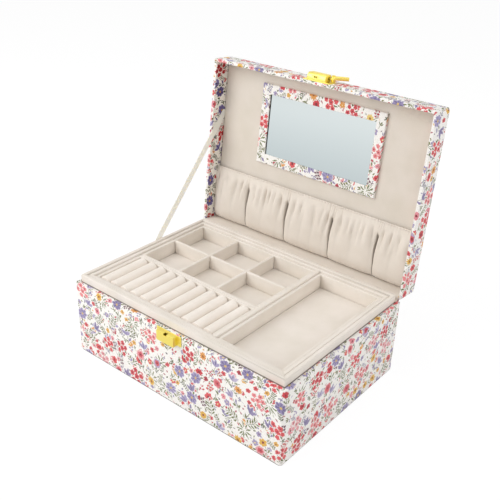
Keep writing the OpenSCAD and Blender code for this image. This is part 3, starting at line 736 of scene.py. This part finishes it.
def pick_faces(piece, test):
    """Selects the faces, in edit mode, whose centre and normal pass the test."""
    bpy.ops.mesh.select_mode(type="FACE")
    bpy.ops.mesh.select_all(action="DESELECT")
    shape = bmesh.from_edit_mesh(piece.data)
    for face in shape.faces:
        face.select_set(bool(test(face.calc_center_median(), face.normal)))
    bmesh.update_edit_mesh(piece.data)


def pick_edges(piece, test):
    """Selects the edges, in edit mode, whose middle and direction pass the test."""
    bpy.ops.mesh.select_mode(type="EDGE")
    bpy.ops.mesh.select_all(action="DESELECT")
    shape = bmesh.from_edit_mesh(piece.data)
    for edge in shape.edges:
        a, b = (v.co for v in edge.verts)
        edge.select_set(bool(test((a + b) / 2, (b - a).normalized())))
    bmesh.update_edit_mesh(piece.data)


def new_block(name, low, high):
    """A block between two corners, its place in its mesh."""
    low, high = Vector(low), Vector(high)
    bpy.ops.object.select_all(action="DESELECT")
    bpy.ops.mesh.primitive_cube_add(size=1, location=(low + high) / 2, scale=high - low)
    piece = bpy.context.object
    piece.name = name
    bpy.ops.object.transform_apply(location=True, rotation=True, scale=True)
    return piece


def new_grid(name, columns, rows):
    """A flat sheet of faces, columns across X and rows along Y, to be shaped."""
    bpy.ops.object.select_all(action="DESELECT")
    bpy.ops.mesh.primitive_grid_add(x_subdivisions=columns, y_subdivisions=rows, size=2)
    piece = bpy.context.object
    piece.name = name
    return piece


def apply_modifier(piece, kind, **settings):
    pick(piece)
    made = piece.modifiers.new(kind.lower(), kind)
    for name, value in settings.items():
        setattr(made, name, value)
    bpy.ops.object.modifier_apply(modifier=made.name)


def smooth(piece, angle=35):
    pick(piece)
    bpy.ops.object.shade_smooth_by_angle(angle=math.radians(angle))
    bpy.ops.object.select_all(action="DESELECT")


def open_up(piece):
    """Turns a piece made on the closed box to the open lid."""
    piece.data.transform(OPENED)
    piece.data.update()


def eased(node, name, width, sharp=50):
    """A copy of a rigid CAD node with its edges eased, which stands for the node."""
    source = frame["nodes"][node]
    piece = source.copy()
    piece.data = source.data.copy()
    piece.name = name
    for key in list(piece.keys()):
        if key.startswith("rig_"):
            del piece[key]
    piece.parent = None
    bpy.context.scene.collection.objects.link(piece)
    start_edit(piece)
    bpy.ops.mesh.select_all(action="SELECT")
    bpy.ops.mesh.remove_doubles(threshold=1e-6)
    bpy.ops.mesh.dissolve_limited(angle_limit=math.radians(2))
    end_edit()
    apply_modifier(piece, "BEVEL", width=width, segments=3, limit_method="ANGLE",
                   angle_limit=math.radians(sharp))
    smooth(piece, 40)
    return piece


def settle(piece, body, slot, *nodes):
    """Joins a finished piece to its body and hides the nodes it stands for; slot is not used."""
    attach(piece, body)
    if nodes:
        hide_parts(*nodes)


# ---------- printed cloth over the boards ----------


def cloth_layer(piece):
    """The piece's UV layer, in mm of the cloth cut."""
    layers = piece.data.uv_layers
    layer = layers[0] if layers else layers.new(name="cloth_mm")
    layer.name = "cloth_mm"
    return layer


def lay_print(piece, edge_z, foot_z, outward):
    """UVs in mm of the cloth cut: it runs round the walls, over the ledge and under the foot.
    edge_z is the open edge and foot_z the closed end; outward is +1 where the edge is above."""
    half_w, half_d = BOX_W / 2, BOX_D / 2
    layer = cloth_layer(piece)
    # Marks the inner walls, where the print's inks are darkened as painted shade.
    inner_wall_painted_shade = piece.data.attributes.new("inner_wall_painted_shade", "FLOAT", "FACE")
    for face in piece.data.polygons:
        c, n = face.center, face.normal
        gap_x, gap_y = half_w - abs(c.x), half_d - abs(c.y)
        if abs(n.z) < 0.7:
            along_x = abs(n.y) > abs(n.x)
            inner = (n.x * c.x + n.y * c.y) < 0
            inner_wall_painted_shade.data[face.index].value = float(inner)
        else:
            along_x = gap_y < gap_x
            inner = False
        at_foot = abs(n.z) > 0.7 and (c.z - foot_z) * outward < 1 * MM
        whole_top = at_foot and min(gap_x, gap_y) > 16 * MM
        for i in face.loop_indices:
            p = piece.data.vertices[piece.data.loops[i].vertex_index].co
            if along_x:
                side = -1 if c.y < 0 else 1
                along = p.x if side < 0 else 2 * half_w + 2 * half_d - p.x
                depth = half_d - abs(p.y)
            else:
                side = 1 if c.x > 0 else -1
                along = half_w + (p.y + half_d) if side > 0 else -half_w - (p.y + half_d)
                depth = half_w - abs(p.x)
            if abs(n.z) < 0.7:
                up = (edge_z + (edge_z - p.z) + 4 * MM * outward) if inner else p.z
            elif (n.z > 0) == (outward > 0):
                up = edge_z + depth * outward
            else:
                up = foot_z - depth * outward
            if whole_top:
                along, up = p.x, foot_z - (p.y + half_d) * outward
            layer.data[i].uv = (along / MM, up / MM)


def cloth_box(name, low, high, wall, opens_up, deep, turned_in, inner_bevel):
    """Cloth over the outside of a box, its edge and its inner walls, as one thin shell."""
    piece = new_block(name, low, high)
    way = 1 if opens_up else -1
    edge_z, foot_z = (high.z, low.z) if opens_up else (low.z, high.z)
    start_edit(piece)
    pick_faces(piece, lambda c, n: n.z * way > 0.9)
    bpy.ops.mesh.inset(thickness=wall)
    bpy.ops.mesh.extrude_region_move(TRANSFORM_OT_translate={"value": (0, 0, -deep * way)})
    bpy.ops.mesh.delete(type="FACE")
    if turned_in:
        pick_faces(piece, lambda c, n: n.z * way < -0.9)
        bpy.ops.mesh.inset(thickness=turned_in)
        bpy.ops.mesh.delete(type="FACE")
    far_x, far_y = high.x - 0.1 * MM, high.y - 0.1 * MM
    pick_edges(piece, lambda m, d: abs(d.z) > 0.9 and abs(m.x) > far_x and abs(m.y) > far_y)
    bpy.ops.mesh.bevel(offset=CORNER_R, segments=6, affect="EDGES")
    pick_edges(piece, lambda m, d: abs(d.z) < 0.1
               and (abs(m.x) > far_x - 1 * MM and abs(m.y) > far_y - 4 * MM
                    or abs(m.x) > far_x or abs(m.y) > far_y)
               and min(abs(m.z - low.z), abs(m.z - high.z)) < 0.1 * MM)
    bpy.ops.mesh.bevel(offset=0.9 * MM, segments=4, affect="EDGES")
    in_x, in_y = high.x - wall, high.y - wall
    pick_edges(piece, lambda m, d: abs(d.z) < 0.1 and abs(m.z - edge_z) < 0.01 * MM
               and (abs(abs(m.x) - in_x) < 0.1 * MM and abs(m.y) < in_y + 0.1 * MM
                    or abs(abs(m.y) - in_y) < 0.1 * MM and abs(m.x) < in_x + 0.1 * MM))
    bpy.ops.mesh.bevel(offset=inner_bevel, segments=3, affect="EDGES")
    end_edit()
    lay_print(piece, edge_z, foot_z, way)
    apply_modifier(piece, "SOLIDIFY", thickness=CLOTH_T, offset=-1)
    smooth(piece)
    return piece


def make_base_cloth(print_cloth):
    piece = cloth_box("base_cloth", BASE_LOW, BASE_HIGH, BASE_WALL - 0.5 * MM, True,
                      BASE_HIGH.z - 5 * MM, TURNED_IN, 0.2 * MM)
    dress(piece, print_cloth)
    settle(piece, "base", "printed_cloth", "base_cover")


def make_lid_cloth(print_cloth):
    deep = PANEL_HIGH.z - LID_LOW.z
    piece = cloth_box("lid_cloth", LID_LOW, LID_HIGH, LID_WALL, False, deep, 0, 0.7 * MM)
    open_up(piece)
    dress(piece, print_cloth)
    settle(piece, "lid", "printed_cloth", "lid_cover")


def make_mirror_frame(print_cloth):
    piece = eased("mirror_frame", "mirror_frame_cloth", 0.5 * MM)
    piece.data.transform(CLOSED)
    layer = cloth_layer(piece)
    for face in piece.data.polygons:
        for i in face.loop_indices:
            p = piece.data.vertices[piece.data.loops[i].vertex_index].co
            along = p.x + (p.z - PANEL_LOW.z) * 0.6
            layer.data[i].uv = (along / MM + 400, (p.y + p.z) / MM + 300)
    open_up(piece)
    dress(piece, print_cloth)
    settle(piece, "lid", "printed_cloth", "mirror_frame")


# ---------- soft pieces ----------


def grid_shape(piece, place):
    """Puts each point of a new grid where place(u, v) says, u and v from 0 to 1."""
    for vertex in piece.data.vertices:
        vertex.co = place((vertex.co.x + 1) / 2, (vertex.co.y + 1) / 2)
    piece.data.update()


def ease(t):
    t = min(1.0, max(0.0, t))
    return t * t * (3 - 2 * t)


POCKET_LOW, POCKET_HIGH = closed_box("pocket_cloth")
HEM_LOW = closed_box("pocket_hem")[0]
POCKET_W = (POCKET_HIGH.x - POCKET_LOW.x) / MM
HEM_ROLL = 2.2 * MM
POCKET_TOP = HEM_LOW.y + HEM_ROLL * 0.9
POCKET_L = (POCKET_HIGH.y - POCKET_TOP) / MM
SEAMS = [0.0, 47.39, 101.39, POCKET_W - 93.79, POCKET_W - 39.79, POCKET_W]
HEM_STAND = 1.95


def crest(turns):
    """A row of soft folds: round on their crests and sharp in their valleys."""
    return abs(math.sin(math.pi * turns)) ** 0.8 * 2 - 1.2


def gathers(x, down):
    """How far the gathers lift the cloth, in mm, x from the left and down from the hem."""
    fine = x / 3.1 + 0.5 * math.sin(x / 9.1 + 1) + 0.3 * math.sin(x / 4.3)
    folds = x / 8.8 + 0.5 * math.sin(x / 17 + 2) + 0.2 * math.sin(x / 6.1 + down / 30)
    broad = x / 17.5 + 0.35 * math.sin(x / 23 + 0.5) + down / 300
    lift = 0.42 * math.exp(-down / 9) * crest(fine)
    grown, gone = ease((down - 2) / 9), ease((down - 12) / 22)
    lift += (0.1 + 1.25 * grown) * (1 - 0.97 * gone) * crest(folds)
    lift += 1.1 * ease((down - 4) / 14) * (1 - 0.8 * ease((down - 22) / 22)) * crest(broad)
    return lift


def seam_gap(x, down):
    """Distance from the nearest sewn valley, in mm; each valley curves a little."""
    curve = 0.5 * math.sin(2 * math.pi * min(1.0, down / 44)) - 0.9 * (1 - down / 44)
    return min(abs(x - seam - curve) for seam in SEAMS[1:-1])


def slit_width(down):
    """Half of a valley's width, in mm: widest a little below the hem."""
    return 0.1 + 1.15 * ease((down - 9) / 6) * (1 - 0.88 * ease((down - 15) / (POCKET_L - 18)))


def pocket_stand(x, down):
    """How far off the panel the pocket cloth stands, in mm."""
    aside = seam_gap(x, down)
    begun = ease((down - 9) / 6)
    slit = slit_width(down)
    shoulder = 1 - 0.3 * begun * math.exp(-aside / 3.5)
    cut = 1 - begun * math.exp(-((aside / slit) ** 4))
    ends = min(x, POCKET_W - x)
    shoulder *= 1 - 0.55 * begun * math.exp(-ends / 3)
    belly = HEM_STAND + 5.4 * math.sin(math.pi / 2 * min(1, down / 38))
    v = down / POCKET_L
    foot = 1 if v < 0.8 else math.sqrt(max(0, 1 - ((v - 0.8) / 0.2) ** 2))
    calm = 1 - begun * math.exp(-((aside / 2.2) ** 2))
    return 0.7 + (belly * shoulder + gathers(x, down) * calm) * cut * foot


def make_pockets(suede):
    panel = PANEL_LOW.z
    per_pocket, rows = 60, 64
    piece = new_grid("pockets_suede", per_pocket * 5, rows)

    def place(u, v):
        pocket = min(4, int(u * 5 + 1e-6))
        t = u * 5 - pocket
        left, right = SEAMS[pocket], SEAMS[pocket + 1]
        x = left + (right - left) * (0.5 - 0.5 * math.cos(math.pi * t))
        down = v * POCKET_L
        scallop = 1.3 * (1 - abs(math.sin(math.pi * t)) ** 0.5) * ease((v - 0.6) / 0.4)
        return Vector((
            POCKET_LOW.x + x * MM, POCKET_TOP + (down - scallop) * MM,
            panel - pocket_stand(x, down) * MM,
        ))

    grid_shape(piece, place)
    # Painted shade: this attribute marks the sewn slits and the valleys of the gathers, where the suede is
    # darkened.
    depth = piece.data.attributes.new("fold_painted_shade", "FLOAT", "POINT")
    for vertex, value in zip(piece.data.vertices, depth.data):
        x = (vertex.co.x - POCKET_LOW.x) / MM
        down = (vertex.co.y - POCKET_TOP) / MM
        aside = seam_gap(x, down)
        spread = 0.3 + 0.7 * slit_width(down)
        slit = 0.95 * ease((down - 9) / 6) * math.exp(-((aside / spread) ** 2))
        valley = 0.1 * max(0.0, min(1.0, -gathers(x, down) / 1.2)) if down > 6 else 0.0
        value.value = max(slit, valley)
    apply_modifier(piece, "SOLIDIFY", thickness=0.6 * MM, offset=0)
    smooth(piece, 60)
    open_up(piece)
    dress(piece, suede)
    settle(piece, "lid", "lining_cloth", "pocket_cloth")

    hem = new_grid("pocket_hem_elastic", 500, 20)

    def around(u, v):
        x = u * POCKET_W
        a, b = math.cos(2 * math.pi * v), math.sin(2 * math.pi * v)
        y = HEM_LOW.y + HEM_ROLL / 2 * (1 + math.copysign(abs(a) ** 0.8, a))
        lift = 0.7 + HEM_STAND + gathers(x, 0.0) - 0.35 + 0.6 * math.copysign(abs(b) ** 0.8, b)
        return Vector((POCKET_LOW.x + x * MM, y, panel - lift * MM))

    grid_shape(hem, around)
    start_edit(hem)
    bpy.ops.mesh.select_all(action="SELECT")
    bpy.ops.mesh.remove_doubles(threshold=1e-6)
    bpy.ops.mesh.select_all(action="DESELECT")
    bpy.ops.mesh.select_non_manifold()
    bpy.ops.mesh.edge_face_add()
    bpy.ops.mesh.select_all(action="SELECT")
    bpy.ops.mesh.normals_make_consistent(inside=False)
    end_edit()
    smooth(hem, 60)
    open_up(hem)
    dress(hem, suede)
    settle(hem, "lid", "lining_cloth", "pocket_hem")


# The rolls are pressed flat against the frame in front and swell a little behind.
FRONT_DOME = 0.7 * MM
BACK_DOME = 2.3 * MM


def make_ring_rolls(pile):
    """Foam rolls in velvet: round crowns, drawn-in feet and blunt, softly domed ends."""
    for n in range(1, 12):
        low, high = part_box(f"ring_roll_{n}")
        wide, long, tall = high - low
        mid = (low + high) / 2
        mood = random.Random(40 + n)
        a, b, c = mood.uniform(0, 6), mood.uniform(0, 6), mood.uniform(0, 6)
        bpy.ops.object.select_all(action="DESELECT")
        bpy.ops.mesh.primitive_uv_sphere_add(segments=44, ring_count=36, radius=1)
        piece = bpy.context.object
        piece.name = f"ring_roll_velvet_{n}"
        foot = low.z + tall * 0.42
        for vertex in piece.data.vertices:
            # The sphere's axis becomes the roll's length.
            x, z, y = vertex.co.x, vertex.co.y, vertex.co.z
            turn = math.atan2(z, x)
            t = math.asin(max(-1, min(1, y))) / (math.pi / 2)
            bulge = BACK_DOME if t > 0 else FRONT_DOME
            straight = long / 2 - bulge
            over = max(0.0, abs(t) - 0.45) / 0.55
            if abs(t) < 0.45:
                along = t / 0.45 * straight
            else:
                along = math.copysign(straight + bulge * math.sin(over * math.pi / 2), t)
            size = max(0.0, math.cos(over * math.pi / 2)) ** 0.36
            rx, rz = math.cos(turn), math.sin(turn)
            ripple = 1 + 0.007 * math.sin(along / MM * 0.21 + a) * math.cos(turn * 2 + b) \
                + 0.005 * math.sin(along / MM * 0.5 + c)
            px = math.copysign(abs(rx) ** 0.76, rx) * wide / 2 * size * ripple
            pz = abs(rz) * (high.z - foot) * size * ripple if rz > 0 \
                else -abs(rz) ** 0.45 * (foot - low.z) * size ** 0.6
            vertex.co = (mid.x + px, mid.y + along, foot + pz)
        piece.data.update()
        start_edit(piece)
        bpy.ops.mesh.select_all(action="SELECT")
        bpy.ops.mesh.remove_doubles(threshold=1e-6)
        bpy.ops.mesh.normals_make_consistent(inside=False)
        end_edit()
        smooth(piece, 70)
        dress(piece, pile)
        settle(piece, "tray", "velvet", f"ring_roll_{n}")


def make_card(name, node, material, body, slot, crown, gap=0.0, lid=False):
    """A card wrapped in velvet or suede: soft edges and a face that swells a little."""
    low, high = closed_box(node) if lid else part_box(node)
    trim = Vector((gap, gap, 0))
    low, high = low + trim, high - trim
    piece = new_block(name, low, high)
    start_edit(piece)
    bpy.ops.mesh.select_all(action="SELECT")
    bpy.ops.mesh.subdivide(number_cuts=14)
    end_edit()
    apply_modifier(piece, "BEVEL", width=0.35 * (high.z - low.z), segments=3,
                   limit_method="ANGLE", angle_limit=math.radians(50))
    face_z = low.z if lid else high.z
    half = (high - low) / 2
    mid = (low + high) / 2
    for vertex in piece.data.vertices:
        if abs(vertex.co.z - face_z) < 0.3 * half.z:
            u = 1 - abs(vertex.co.x - mid.x) / half.x
            v = 1 - abs(vertex.co.y - mid.y) / half.y
            near = min(1.0, min(u * half.x, v * half.y) / (8 * MM))
            swell = crown * math.sin(near * math.pi / 2)
            vertex.co.z += -swell if lid else swell
    piece.data.update()
    smooth(piece, 40)
    if lid:
        open_up(piece)
    dress(piece, material)
    settle(piece, body, slot, node)
    return piece


# A pad stops this far short of the boards round it, so that a dark line shows there.
PAD_GAP = 0.5 * MM
# A divider stops this far short of the board it meets.
BOARD_GAP = 0.4 * MM
SOFT_EDGE = 0.9 * MM


def make_insert_frame(name, node, wall, pile):
    """An insert of four velvet-wrapped cards, butted at the corners."""
    low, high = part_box(node)
    inner = low + Vector((wall, wall, 0)), high - Vector((wall, wall, 0))
    boards = [
        (low, Vector((high.x, inner[0].y, high.z))),
        (Vector((low.x, inner[1].y, low.z)), high),
        (Vector((low.x, inner[0].y, low.z)), Vector((inner[0].x, inner[1].y, high.z))),
        (Vector((inner[1].x, inner[0].y, low.z)), Vector((high.x, inner[1].y, high.z))),
    ]
    parts = [new_block(name, a, b) for a, b in boards]
    for part in parts:
        part.select_set(True)
    bpy.ops.object.join()
    piece = bpy.context.object
    piece.name = name
    apply_modifier(piece, "BEVEL", width=SOFT_EDGE, segments=4, limit_method="ANGLE",
                   angle_limit=math.radians(50))
    smooth(piece, 40)
    dress(piece, pile)
    settle(piece, "tray", "velvet", node)


def make_velvet_boards(pile, collar_pile):
    """Collar, tray walls and dividers: cards wrapped in velvet, soft at every edge."""
    for side in ("front", "right", "back", "left"):
        for node, body in ((f"collar_{side}", "base"), (f"tray_{side}", "tray")):
            piece = eased(node, node + "_velvet", 0.45 * MM, 40)
            dress(piece, collar_pile if body == "base" else pile)
            settle(piece, body, "velvet", node)
    for node, way in (("tray_partition", 1), ("grid_long_divider", 0),
                      ("grid_cross_left", 1), ("grid_cross_right", 1)):
        piece = eased(node, node + "_velvet", SOFT_EDGE, 50)
        low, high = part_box(node)
        for vertex in piece.data.vertices:
            if vertex.co[way] < low[way] + 1.5 * MM:
                vertex.co[way] += BOARD_GAP
            elif vertex.co[way] > high[way] - 1.5 * MM:
                vertex.co[way] -= BOARD_GAP
        piece.data.update()
        dress(piece, pile)
        settle(piece, "tray", "velvet", node)
    insert_wall = (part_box("well_frame")[1].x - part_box("well_pad")[1].x)
    for node in ("grid_frame", "roll_frame", "well_frame"):
        make_insert_frame(node + "_velvet", node, insert_wall, pile)


# Where the ribbon leaves the collar (y, z), where it meets the lid panel on the closed box,
# how far it is tucked in there, its width, and the length of its fold at the collar.
RIBBON_FOOT = (17.05 * MM, 86.4 * MM)
RIBBON_HEAD_Y = -34.75 * MM
RIBBON_TAIL = 1.6 * MM
RIBBON_W = 7.5 * MM
RIBBON_FOLD = 5 * MM


def make_ribbon(satin):
    """The stay: a flat taut ribbon from behind the collar to the lid panel's edge."""
    co = np.array([v.co for v in frame["nodes"]["ribbon_stay"].data.vertices])
    low, high = co.min(0), co.max(0)
    x = (low[0] + high[0]) / 2
    foot = Vector((x, *RIBBON_FOOT))
    head = OPENED @ Vector((x, RIBBON_HEAD_Y, PANEL_LOW.z))
    tail = OPENED @ Vector((x, RIBBON_HEAD_Y, PANEL_LOW.z + RIBBON_TAIL))
    root = Vector((x, foot.y, low[2]))
    half = RIBBON_W / 2
    first, second = (foot - root).length, (head - foot).length
    total = first + second + (tail - head).length
    piece = new_grid("ribbon_satin", 10, 120)
    run = (head - foot).normalized()
    aside = Vector((0, -run.z, run.y))

    def place(u, v):
        s = (u - 0.5) * 2 * half
        d = v * total
        # The ribbon turns in a short fold where it leaves the collar.
        if d < first:
            t = max(0.0, min(1.0, (d - first + RIBBON_FOLD) / RIBBON_FOLD))
            way = Vector((0, -1, 0)).lerp(aside, t * t * 0.5)
            p = root + UP * d
        elif d < first + second:
            t = min(1.0, (d - first) / RIBBON_FOLD)
            way = Vector((0, -1, 0)).lerp(aside, 0.5 + 0.5 * t * (2 - t))
            p = foot + run * (d - first)
        else:
            way = aside
            p = head + (tail - head).normalized() * (d - first - second)
        cup = 0.12 * MM * (1 - (s / half) ** 2)
        return p + way.normalized() * s + Vector((cup, 0, 0))

    grid_shape(piece, place)
    apply_modifier(piece, "SOLIDIFY", thickness=0.3 * MM, offset=0)
    smooth(piece, 50)
    dress(piece, satin)
    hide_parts("ribbon_stay")
    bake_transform(piece)


def path_strip(name, half_width, points, columns, rows, thickness):
    """A strip of cloth across the box that follows a path of (y, z) points."""
    piece = new_grid(name, columns, rows)
    path = [Vector((0, y, z)) for y, z in points]
    reach = [0.0]
    for a, b in zip(path, path[1:]):
        reach.append(reach[-1] + (b - a).length)

    def place(u, v):
        d = v * reach[-1]
        k = max(i for i in range(len(path) - 1) if reach[i] <= d + 1e-12)
        t = (d - reach[k]) / max(1e-9, reach[k + 1] - reach[k])
        p = path[k].lerp(path[k + 1], t)
        return Vector(((u - 0.5) * 2 * half_width, p.y, p.z))

    grid_shape(piece, place)
    layer = cloth_layer(piece)
    for loop in piece.data.loops:
        index = loop.vertex_index
        column, row = index % (columns + 1), index // (columns + 1)
        layer.data[loop.index].uv = (
            (column / columns - 0.5) * 2 * half_width / MM + 500,
            row / rows * reach[-1] / MM + 60)
    apply_modifier(piece, "SOLIDIFY", thickness=thickness, offset=0)
    smooth(piece, 60)
    return piece


def bend(points, radius, count=8):
    """Rounds the corners of a (y, z) path."""
    made = [Vector(points[0])]
    for a, b, c in zip(points, points[1:], points[2:]):
        a, b, c = Vector(a), Vector(b), Vector(c)
        r = min(radius, (a - b).length * 0.45, (c - b).length * 0.45)
        p, q = b + (a - b).normalized() * r, b + (c - b).normalized() * r
        for k in range(count + 1):
            t = k / count
            made.append(p.lerp(b, t).lerp(b.lerp(q, t), t))
    made.append(Vector(points[-1]))
    return [tuple(p) for p in made]


def path_length(points):
    return sum(math.dist(a, b) for a, b in zip(points, points[1:]))


def opened_yz(y, z):
    p = OPENED @ Vector((0, y, z))
    return (p.y, p.z)


def make_hinge_cloths(print_cloth, suede):
    back = BASE_HIGH.y
    top = BASE_HIGH.z
    off = 0.3 * MM
    outer = bend([
        (back + off, top - TURNED_IN),
        (back + off, top + 1.0 * MM),
        opened_yz(back + off, LID_LOW.z + TURNED_IN),
    ], 1.4 * MM)
    half_w = BOX_W / 2 - CORNER_R
    piece = path_strip("hinge_cloth_outer", half_w, outer, 40, 60, 0.5 * MM)
    dress(piece, print_cloth)
    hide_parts("hinge_cloth")
    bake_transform(piece)
    path_length(outer)

    inner_y = back - LID_WALL - off
    lining = bend([
        (88.75 * MM, 79.9 * MM),
        (91.6 * MM, 79.95 * MM),
        opened_yz(inner_y + 1.5 * MM, LID_LOW.z - 0.4 * MM),
        opened_yz(inner_y, LID_LOW.z + 1.2 * MM),
        opened_yz(inner_y, PANEL_LOW.z - 0.2 * MM),
    ], 1.2 * MM)
    half_w = BOX_W / 2 - LID_WALL - 0.2 * MM
    piece = path_strip("hinge_lining_suede", half_w, lining, 30, 70, 0.5 * MM)
    dress(piece, suede)
    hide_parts("hinge_lining")
    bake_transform(piece)
    path_length(lining)


# ---------- rigid pieces ----------


def make_clasp(gold):
    for node, body in [
        ("clasp_base_plate", "base"), ("clasp_catch", "base"), ("clasp_base_rivets", "base"),
        ("clasp_lid_plate", "lid"), ("clasp_housing", "lid"), ("clasp_lid_rivet", "lid"),
        ("clasp_pivot_pin", "lid"), ("clasp_lever", "lever"),
    ]:
        piece = eased(node, node + "_gold", 0.14 * MM)
        dress(piece, gold)
        settle(piece, body, "gold_metal", node)


def main():
    add_camera()
    add_stage()
    add_lamp("key", (-0.8, -1.2, 1.0), (0, 0, 0.12), 1.3, 17.5)
    add_lamp("top", (-0.2, -0.3, 1.6), (0, 0, 0.1), 1.2, 3)
    add_lamp("side", (1.35, 0.35, 0.95), (0, 0, 0.05), 1.2, 8)

    print_cloth = floral_cotton()
    pile = velvet("cream_velvet", "ECE4DB", "E5DDD2", 0.55)
    # A copy of the cream velvet with painted shade at the collar's foot.
    collar_pile = velvet("cream_velvet_collar_painted_foot_shade", "ECE4DB", "E5DDD2", 0.55, foot=BASE_HIGH.z)
    # A lighter copy of the cream velvet: painted light that brightens the rolls.
    roll_pile = velvet("cream_velvet_rolls_painted_light", "F4ECE3", "EEE5DB", 0.55)
    suede = velvet("cream_microfibre_suede", "DFD6CB", "D9D0C3", 0.45)
    pocket_suede = velvet("gathered_microfibre_suede", "E6DDD2", "E0D6CA", 0.45, folds=True)
    satin = satin_ribbon()
    gold = gold_plate()
    glass = silvered_glass()
    board = paper_board("grey_pasteboard", "A79A86", "BEB29E")
    # The sheet under the foot is made dark so that its edge gives the shadow line along the box's foot: painted
    # shadow as well as the sheet's own colour.
    sheet_paper = paper_board("dark_sheet_painted_shadow_line", "4A4540", "5A544D")

    make_base_cloth(print_cloth)
    make_lid_cloth(print_cloth)
    make_mirror_frame(print_cloth)
    make_pockets(pocket_suede)
    make_velvet_boards(pile, collar_pile)
    make_ring_rolls(roll_pile)
    make_card("lid_panel_suede", "lid_panel", suede, "lid", "velvet", 0.0, 0.7 * MM, lid=True)
    make_card("grid_pad_velvet", "grid_pad", pile, "tray", "velvet", 0.0, PAD_GAP)
    make_card("well_pad_velvet", "well_pad", pile, "tray", "velvet", 0.25 * MM, PAD_GAP)
    make_card("roll_bed_velvet", "roll_bed", pile, "tray", "velvet", 0.0, PAD_GAP)
    make_card("floor_pad_velvet", "floor_pad", pile, "base", "velvet", 0.0)
    make_ribbon(satin)
    make_hinge_cloths(print_cloth, pocket_suede)
    make_clasp(gold)

    finishes = {"board": board, "velvet": pile, "mirror_glass": glass, "gold_metal": gold,
                "lining_cloth": suede, "satin": satin, "printed_cloth": print_cloth}
    slots = {s["node"]: s["material_slot"] for s in frame["record"]["subparts"]}
    for name, node in frame["nodes"].items():
        dress(node, finishes[slots[name]])
    dress(frame["nodes"]["bottom_sheet"], sheet_paper)


main()
